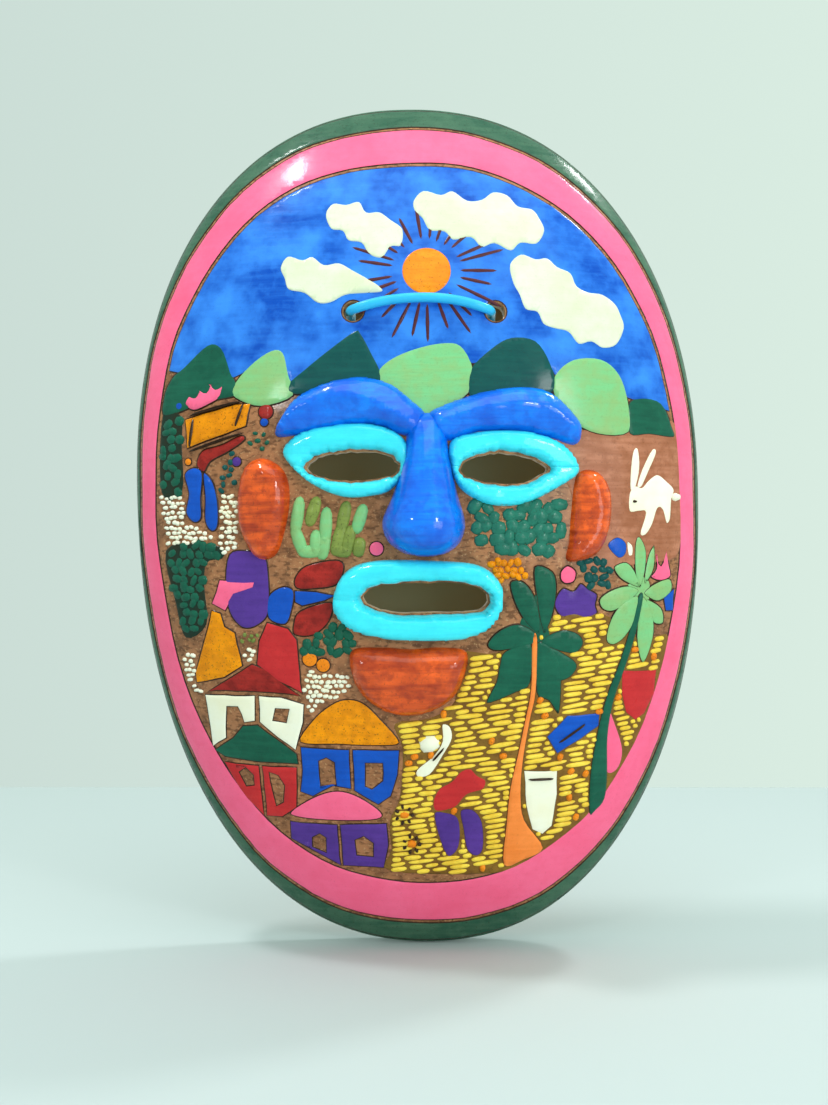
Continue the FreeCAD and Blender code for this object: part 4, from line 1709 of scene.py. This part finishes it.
@dataclass(frozen=True)
class Bed:
    """A patch of ground filled with round leaves or small flowers."""

    name: str
    paint: Paint
    region: Sequence[Point]
    pitch: float
    leaf: float
    solid: bool = False  # whether a deep wash lies under the leaves


BEDS = (
    Bed("foliage_left", PINE, FOLIAGE, 3.3, 4.1, solid=True),
    Bed("bush_left", PINE, BUSH, 3.2, 4.0, solid=True),
    Bed("bush_right", SAGE,
        ((17.5, 8), (33, 10.5), (48, 9), (48.5, -2), (44, -10), (36, -11), (26, -8), (18, -3)), 4.0, 5.6),
    Bed("bush_by_dancer", PINE,
        ((-40, -37), (-33, -32), (-24, -31), (-19, -36), (-20, -42), (-30, -44), (-38, -42)), 3.1, 3.9),
    Bed("bush_by_flower", TEAL, ((54, -11), (66, -10), (66, -22), (60, -22), (55, -17)), 3.0, 3.4),
    Bed("sprigs_left", PINE, ((-57, 33), (-49, 33), (-49, 26), (-57, 26)), 2.7, 2.0),
    Bed("stems_left", TEAL, ((-66, 26), (-62, 25), (-61, 12), (-66, 12)), 2.8, 2.2),
    Bed("olive_leaves", MOSS, ((-60, -34.5), (-53.5, -36), (-54, -40), (-59, -40)), 2.0, 1.6),
    Bed("meadow_flowers", AMBER, ((23, -11), (35, -11.5), (37, -18), (27, -18)), 2.3, 2.9))


def face_outlines() -> list[Loop]:
    """Draws the outlines of the modelled features, which no small mark lies under."""
    return [rounded(outline) for outline in (LEFT_EYE, RIGHT_EYE, LIPS, CHIN, LEFT_CHEEK, RIGHT_CHEEK)]


@dataclass
class Village:
    """Everything painted below the sky."""

    ground: Loop = field(default_factory=lambda: PaintedBands().within(0.012))
    taken: list[Loop] = field(default_factory=face_outlines)
    coat_step: float = 0.3  # how much further out each coat of a motif lies than the one before
    leaf_lift: float = 0.45
    column_width: float = 4.3
    column_overlap: float = 3.6
    cobble_pitch: float = 1.9
    cobble_length: float = 1.85
    cobble_width: float = 1.45
    furrow_turn: float = 8.0  # degrees that the field's rows rise to the right
    furrow_pitch: float = 1.95
    furrow_width: float = 1.7
    furrow_levels: tuple[float, float] = (-136.0, -24.0)  # where the rows cross the middle line
    furrow_ends: tuple[float, float] = (-12.0, 90.0)
    flower_share: float = 0.05

    def build(self) -> None:
        """Makes the hills, the people, the houses, the plants and the field."""
        self.coats("hills", [(paint, R, points) for paint, points in HILLS], level=1)
        self.wash("blush_wash", BLUSH, BLUSH_PATCH, -1.0)
        self.coats("drummer", DRUMMER, level=2)
        self.coats("water_carrier", WATER_CARRIER)
        self.coats("dancer", DANCER)
        for name, coats in HOUSES.items():
            self.house(name, coats)
        self.palm("dark", PINE, DARK_HEART, DARK_PALM)
        self.palm("light", LEAF, LIGHT_HEART, LIGHT_PALM)
        self.coats("palm_trunks", ((PINE, R, DARK_TRUNK), (TRUNK, R, ORANGE_TRUNK)), level=3, line=0.25)
        self.coats("rabbit", [(LIME, R, points) for points in RABBIT], line=0.0)
        self.coats("farmer", FARMER)
        self.coats("garden", GARDEN)
        self.details()
        self.bushes()
        self.cactus()
        self.cobbles()
        self.plough()

    def coats(self, name: str, coats: Iterable[tuple[Paint, Corners, Sequence[Point]]],
              level: float = 0.0, line: float = 0.5) -> None:
        """Makes one motif from its coats of paint, each a hair above the one before.

        Args:
            name: the motif's name.
            coats: paint, corners and outline of each.
            level: how many coats lie under the motif.
            line: width of its drawn line.
        """
        piece = Piece(name)
        for step, (paint, corners, points) in enumerate(coats):
            Film(paint, points, corners, level=level + self.coat_step * (step % 3), line=line).cut_out(piece)
            self.taken.append(shaped(points, corners))
        piece.finish()

    def palm(self, name: str, paint: Paint, heart: Sequence[Point],
             leaves: Iterable[Sequence[Point]]) -> None:
        """Makes a palm's head: a thin wash under the place where its leaves meet, and then the leaves.

        Args:
            name: which palm.
            paint: its green.
            heart: outline of the wash.
            leaves: outline of each leaf.
        """
        self.wash(name + "_palm_heart", paint, heart, -0.8)
        self.coats(name + "_palm_leaves", [(paint, R, points) for points in leaves], level=1)

    @staticmethod
    def wash(name: str, paint: Paint, outline: Sequence[Point], level: float) -> None:
        """Lays one thin wash with no drawn line.

        Args:
            name: the wash's name.
            paint: its paint.
            outline: its outline.
            level: how far out it lies, in coats, where under 0 is thinner than one coat.
        """
        piece = Piece(name)
        Film(paint, outline, level=level, line=0.0).cut_out(piece)
        piece.finish()

    def house(self, name: str, coats: Iterable[tuple[Paint, Corners, Sequence[Point]]]) -> None:
        """Makes a house, with its door and windows left as bare clay.

        Args:
            name: the house's name.
            coats: paint, corners and outline of its roof and walls.
        """
        piece = Piece(name)
        openings = [shaped(points, C) for points in OPENINGS[name]]
        for step, (paint, corners, points) in enumerate(coats):
            outline = shaped(points, corners)
            holes = tuple(o for o in openings if all(inside(p, outline) for p in o))
            Film(paint, points, corners, level=self.coat_step * step, holes=holes, line=0.4).cut_out(piece)
            self.taken.append(outline)
        piece.finish()

    def details(self) -> None:
        """Makes the dots, the drum's straps, the rabbit's eye and tail, the hat and the sunflowers."""
        piece = Piece("painted_details")
        for paint, x, z, radius in LEFT_DOTS:
            Film(paint, circle(x, z, radius), level=1, line=0.4).cut_out(piece)
            self.taken.append(circle(x, z, radius))
        for paint, at, length, width, turn in MARKS:
            Dab(paint, at, length, width, turn, lift=1.25).press(piece)
        for middle in SUNFLOWERS:
            self.sunflower(middle, piece)
        piece.finish()

    @staticmethod
    def sunflower(middle: Point, piece: Piece, petals: int = 7) -> None:
        """Makes one flower with dark petals round an orange eye.

        Args:
            middle: its middle.
            piece: the piece that takes it.
            petals: how many petals it has.
        """
        x, z = middle
        Dab(SUN, middle, 3.4, 3.0, 0, lift=0.9).press(piece)
        for petal in range(petals):
            turn = 360 / petals * petal
            at = (x + 2.7 * math.cos(math.radians(turn)), z + 3.0 * math.sin(math.radians(turn)))
            Dab(DRAWN, at, 1.6, 1.2, turn, lift=0.85).press(piece)

    def scatter(self, region: Sequence[Point], pitch: float,
                seed: int) -> Iterable[tuple[Point, random.Random]]:
        """Walks over a region in uneven rows, leaving out what is already painted.

        Args:
            region: the outline to fill.
            pitch: distance between marks.
            seed: start of the hand's unevenness.

        Yields:
            Each mark's place, and the hand to vary it with.
        """
        hand = random.Random(seed)
        xs = [x for x, _ in region]
        zs = [z for _, z in region]
        row = 0
        z = min(zs)
        while z < max(zs):
            x = min(xs) + pitch * 0.5 * (row % 2)
            while x < max(xs):
                spot = (x + hand.uniform(-0.25, 0.25) * pitch, z + hand.uniform(-0.2, 0.2) * pitch)
                if self.free(spot, region):
                    yield spot, hand
                x += pitch
            z += pitch * 0.9
            row += 1

    def free(self, spot: Point, region: Sequence[Point]) -> bool:
        """Says whether a small mark may lie at a point.

        Args:
            spot: the point.
            region: the outline that the marks fill.

        Returns:
            True inside the region and the pink band, where nothing is painted yet.
        """
        if not (inside(spot, region) and inside(spot, self.ground)):
            return False
        return not any(inside(spot, outline) for outline in self.taken)

    def bushes(self) -> None:
        """Makes the bushes from round leaves."""
        for seed, bed in enumerate(BEDS):
            piece = Piece(bed.name)
            if bed.solid:
                Film(DEEP, bed.region, line=0.0).cut_out(piece)
            for spot, hand in self.scatter(bed.region, bed.pitch, seed + 11):
                Dab(bed.paint, spot, bed.leaf * hand.uniform(0.8, 1.15), bed.leaf * hand.uniform(0.65, 0.95),
                    hand.uniform(0, 180), lift=self.leaf_lift + hand.uniform(0, 0.2)).press(piece)
            piece.finish()

    def cactus(self) -> None:
        """Makes the cactus columns and their arms from overlapping fat touches."""
        piece = Piece("cactus_columns")
        for column, stem in enumerate(CACTUS):
            paint = (LEAF, MOSS)[column % 2]
            for (x1, z1), (x2, z2) in zip(stem, stem[1:]):
                length = math.hypot(x2 - x1, z2 - z1)
                turn = math.degrees(math.atan2(z2 - z1, x2 - x1))
                Dab(paint, ((x1 + x2) / 2, (z1 + z2) / 2), length + self.column_overlap, self.column_width,
                    turn, lift=0.85, sides=12).press(piece)
        piece.finish()

    def cobbles(self) -> None:
        """Makes the cobbled ground from small pale touches."""
        piece = Piece("cobbles")
        for seed, region in enumerate(COBBLED):
            for spot, hand in self.scatter(region, self.cobble_pitch, seed + 31):
                Dab(LIME, spot, self.cobble_length * hand.uniform(0.75, 1.15),
                    self.cobble_width * hand.uniform(0.8, 1.1), hand.uniform(-25, 25), lift=0.5).press(piece)
        piece.finish()

    def plough(self) -> None:
        """Makes the ploughed field from long yellow strokes that rise to the right."""
        piece = Piece("field_strokes")
        flecks = Piece("field_flowers")
        # the field's ground: its own yellow-brown tone, darkened as painted shade for the gaps between the
        # raised strokes
        Film(FIELD_GROUND_AND_SHADE, FIELD, level=-1, line=0.0).cut_out(piece)
        hand = random.Random(77)
        slope = math.tan(math.radians(self.furrow_turn))
        level, top = self.furrow_levels
        while level < top:
            x, right = self.furrow_ends
            start = None
            length = hand.uniform(3.0, 9.0)
            while x < right:
                spot = (x, level + x * slope + 0.35 * noise.noise(Vector((x, level, 0)) / 5.0))
                clear = self.free(spot, FIELD)
                if clear and start is None:
                    start = spot
                if start and (not clear or x - start[0] > length):
                    self.stroke(start, spot, hand, piece, flecks)
                    start = None
                    length = hand.uniform(4.0, 10.0)
                x += 0.5
            level += self.furrow_pitch
        piece.finish()
        flecks.finish()

    def stroke(self, start: Point, end: Point, hand: random.Random, furrows: Piece, flecks: Piece) -> None:
        """Lays one stroke of the field, or now and then a flower in its place.

        Args:
            start: the stroke's left end.
            end: its right end.
            hand: the hand's unevenness.
            furrows: the piece that takes a stroke.
            flecks: the piece that takes a flower.
        """
        length = end[0] - start[0] - 0.2
        if length < 0.9:
            return
        middle = ((start[0] + end[0]) / 2, (start[1] + end[1]) / 2)
        if hand.random() < self.flower_share:
            Dab(SUN, middle, 2.8, 2.2, hand.uniform(0, 90), lift=0.8).press(flecks)
        else:
            Dab(STRAW, middle, length, self.furrow_width * hand.uniform(0.8, 1.15),
                self.furrow_turn + hand.uniform(-3, 3), lift=0.6, sides=12).press(furrows)


# ---- the studio


@dataclass(frozen=True)
class Lamp:
    """One soft square lamp, turned to the mask's middle."""

    name: str
    place: tuple[float, float, float]  # metres from the mask's middle
    size: float
    power: float


@dataclass
class Studio:
    """The floor, the card of painted shade behind the slots, the lamps, the room's light and the camera."""

    distance: float = 0.530
    lens: float = 62.8
    sensor: float = 36.0
    aim: tuple[float, float, float] = (-0.0013, 0.0, -0.0092)  # metres from the mask's middle
    floor_behind: float = 0.317  # the cloth on the floor ends here
    floor_half: float = 0.75
    edge_drop: float = 0.25
    edge_round: float = 0.012
    card_middle: tuple[float, float, float] = (3.0, -25.0, 19.0)  # inside the hollow, in mm as the drawings
    card_size: tuple[float, float] = (116.0, 124.0)
    room_left: str = "CBDDD6"
    room_right: str = "DAEDE2"
    lamps: tuple[Lamp, ...] = (
        Lamp("ceiling_left", (-0.42, -0.12, 0.95), 0.12, 4.0),
        Lamp("ceiling_right", (0.55, 0.30, 0.80), 0.12, 3.0),
        Lamp("window", (-0.90, -1.40, 0.60), 0.14, 2.5),
        Lamp("fill", (1.15, -1.35, -0.05), 1.0, 11.0),
        Lamp("window_right", (0.95, -1.30, 0.55), 0.25, 5.5),
        Lamp("overhead", (0.15, -0.50, 1.10), 0.9, 4.0))

    def build(self) -> None:
        """Sets everything up round the mask."""
        middle = Vector((-NAIL_X * MM, 0.0, -NAIL_Z * MM))
        self.floor(CAD_BOX[0][2])
        self.card()
        self.camera(middle)
        self.lights(middle)
        self.room()

    def floor(self, height: float) -> None:
        """Makes the pale floor, which turns down at its far edge.

        Args:
            height: height of the floor, in metres.
        """
        bm = bmesh.new()
        bmesh.ops.create_grid(bm, x_segments=1, y_segments=1, size=self.floor_half)
        for vert in bm.verts:
            vert.co += Vector((0, self.floor_behind - self.floor_half, height))
        far = [e for e in bm.edges if all(v.co.y > 0 for v in e.verts)]
        made = bmesh.ops.extrude_edge_only(bm, edges=far)["geom"]
        hem = [g for g in made if isinstance(g, bmesh.types.BMVert)]
        bmesh.ops.translate(bm, verts=hem, vec=(0, 0, -self.edge_drop))
        bmesh.ops.bevel(bm, geom=far, offset=self.edge_round, segments=5, profile=0.5, affect="EDGES",
                        material=-1)
        self.stand("pale_floor", bm, self.plain("pale_cloth", "BCC8C8"))

    def card(self) -> None:
        """Makes the card of painted shade, which stands inside the hollow and faces the slots, and stands for
        the dim hollow seen through them.
        """
        x, y, z = self.card_middle
        width, height = self.card_size
        bm = bmesh.new()
        bmesh.ops.create_grid(bm, x_segments=1, y_segments=1, size=0.5)
        for vert in bm.verts:
            vert.co = HangingCord.frame_place((vert.co.x * width + x, y, vert.co.y * height + z))
        bmesh.ops.recalc_face_normals(bm, faces=bm.faces[:])
        if bm.faces[0].normal.y > 0:
            bmesh.ops.reverse_faces(bm, faces=bm.faces[:])
        # the card's grey-green is painted shade: the dim inside of the hollow, as seen through the slots
        self.stand("dark_card", bm, self.one_sided("dark_card", "7C9A82"))

    @staticmethod
    def stand(name: str, bm: bmesh.types.BMesh, material: bpy.types.Material) -> None:
        """Puts a piece of the stage in place.

        Args:
            name: its name.
            bm: its mesh, in metres.
            material: its finish.
        """
        data = bpy.data.meshes.new(name)
        bm.to_mesh(data)
        bm.free()
        data.materials.append(material)
        data.polygons.foreach_set("use_smooth", [True] * len(data.polygons))
        made = bpy.data.objects.new(name, data)
        bpy.context.scene.collection.objects.link(made)

    @staticmethod
    def plain(name: str, colour: str) -> bpy.types.Material:
        """Makes a plain matt finish for the stage.

        Args:
            name: its name.
            colour: six hexadecimal digits.

        Returns:
            The finish.
        """
        material = bpy.data.materials.new(name)
        material.use_nodes = True
        shader = material.node_tree.nodes["Principled BSDF"]
        shader.inputs["Base Color"].default_value = tone(colour)
        shader.inputs["Roughness"].default_value = 0.9
        return material

    def one_sided(self, name: str, colour: str) -> bpy.types.Material:
        """Makes a matt finish that is clear from behind and to light, so that it never shades the hollow.

        Args:
            name: its name.
            colour: six hexadecimal digits.

        Returns:
            The finish.
        """
        material = self.plain(name, colour)
        wiring = Wiring(material.node_tree)
        nodes = material.node_tree.nodes
        blend = wiring.node("MixShader")
        front = wiring.span(wiring.node("NewGeometry").outputs["Backfacing"], 0.0, 1.0, 1.0, 0.0)
        wiring.link(wiring.times(front, wiring.node("LightPath").outputs["Is Camera Ray"]), blend.inputs[0])
        wiring.link(wiring.node("BsdfTransparent").outputs[0], blend.inputs[1])
        wiring.link(nodes["Principled BSDF"].outputs[0], blend.inputs[2])
        wiring.link(blend.outputs[0], nodes["Material Output"].inputs["Surface"])
        return material

    def camera(self, middle: Vector) -> None:
        """Looks at the mask from straight in front.

        Args:
            middle: the middle of its oval.
        """
        data = bpy.data.cameras.new("camera")
        data.sensor_fit = "HORIZONTAL"
        data.sensor_width = self.sensor
        data.lens = self.lens
        data.clip_start = 0.01
        made = bpy.data.objects.new("camera", data)
        bpy.context.scene.collection.objects.link(made)
        made.location = middle + Vector((0, -self.distance, 0))
        aim = middle + Vector(self.aim)
        made.rotation_euler = (aim - made.location).to_track_quat("-Z", "Y").to_euler()
        bpy.context.scene.camera = made

    def lights(self, middle: Vector) -> None:
        """Hangs the soft lamps.

        Args:
            middle: the middle of the mask's oval, which they face.
        """
        for lamp in self.lamps:
            data = bpy.data.lights.new(lamp.name, "AREA")
            data.size = lamp.size
            data.energy = lamp.power
            made = bpy.data.objects.new(lamp.name, data)
            bpy.context.scene.collection.objects.link(made)
            made.location = middle + Vector(lamp.place)
            made.rotation_euler = (middle - made.location).to_track_quat("-Z", "Y").to_euler()

    def room(self) -> None:
        """Fills the room with pale light, a little warmer and brighter to the right."""
        world = bpy.data.worlds.new("room")
        world.use_nodes = True
        wiring = Wiring(world.node_tree)
        apart = wiring.node("SeparateXYZ")
        wiring.link(wiring.node("TexCoord").outputs["Generated"], apart.inputs[0])
        across = wiring.span(apart.outputs["X"], -0.3, 0.3)
        wall = world.node_tree.nodes["Background"].inputs
        wiring.link(wiring.mix(across, tone(self.room_left), tone(self.room_right)), wall["Color"])
        wall["Strength"].default_value = 1.0
        bpy.context.scene.world = world
        bpy.context.scene.view_settings.view_transform = "Standard"


def main() -> None:
    """Builds the mask piece by piece."""
    logging.basicConfig(level=logging.INFO, format="%(name)s %(message)s")
    Studio().build()
    HangingCord().build()
    ClayDish().build()
    FaceFeatures().build()
    PaintedBands().build()
    Sky().build()
    Village().build()


if __name__ == "__main__":
    main()
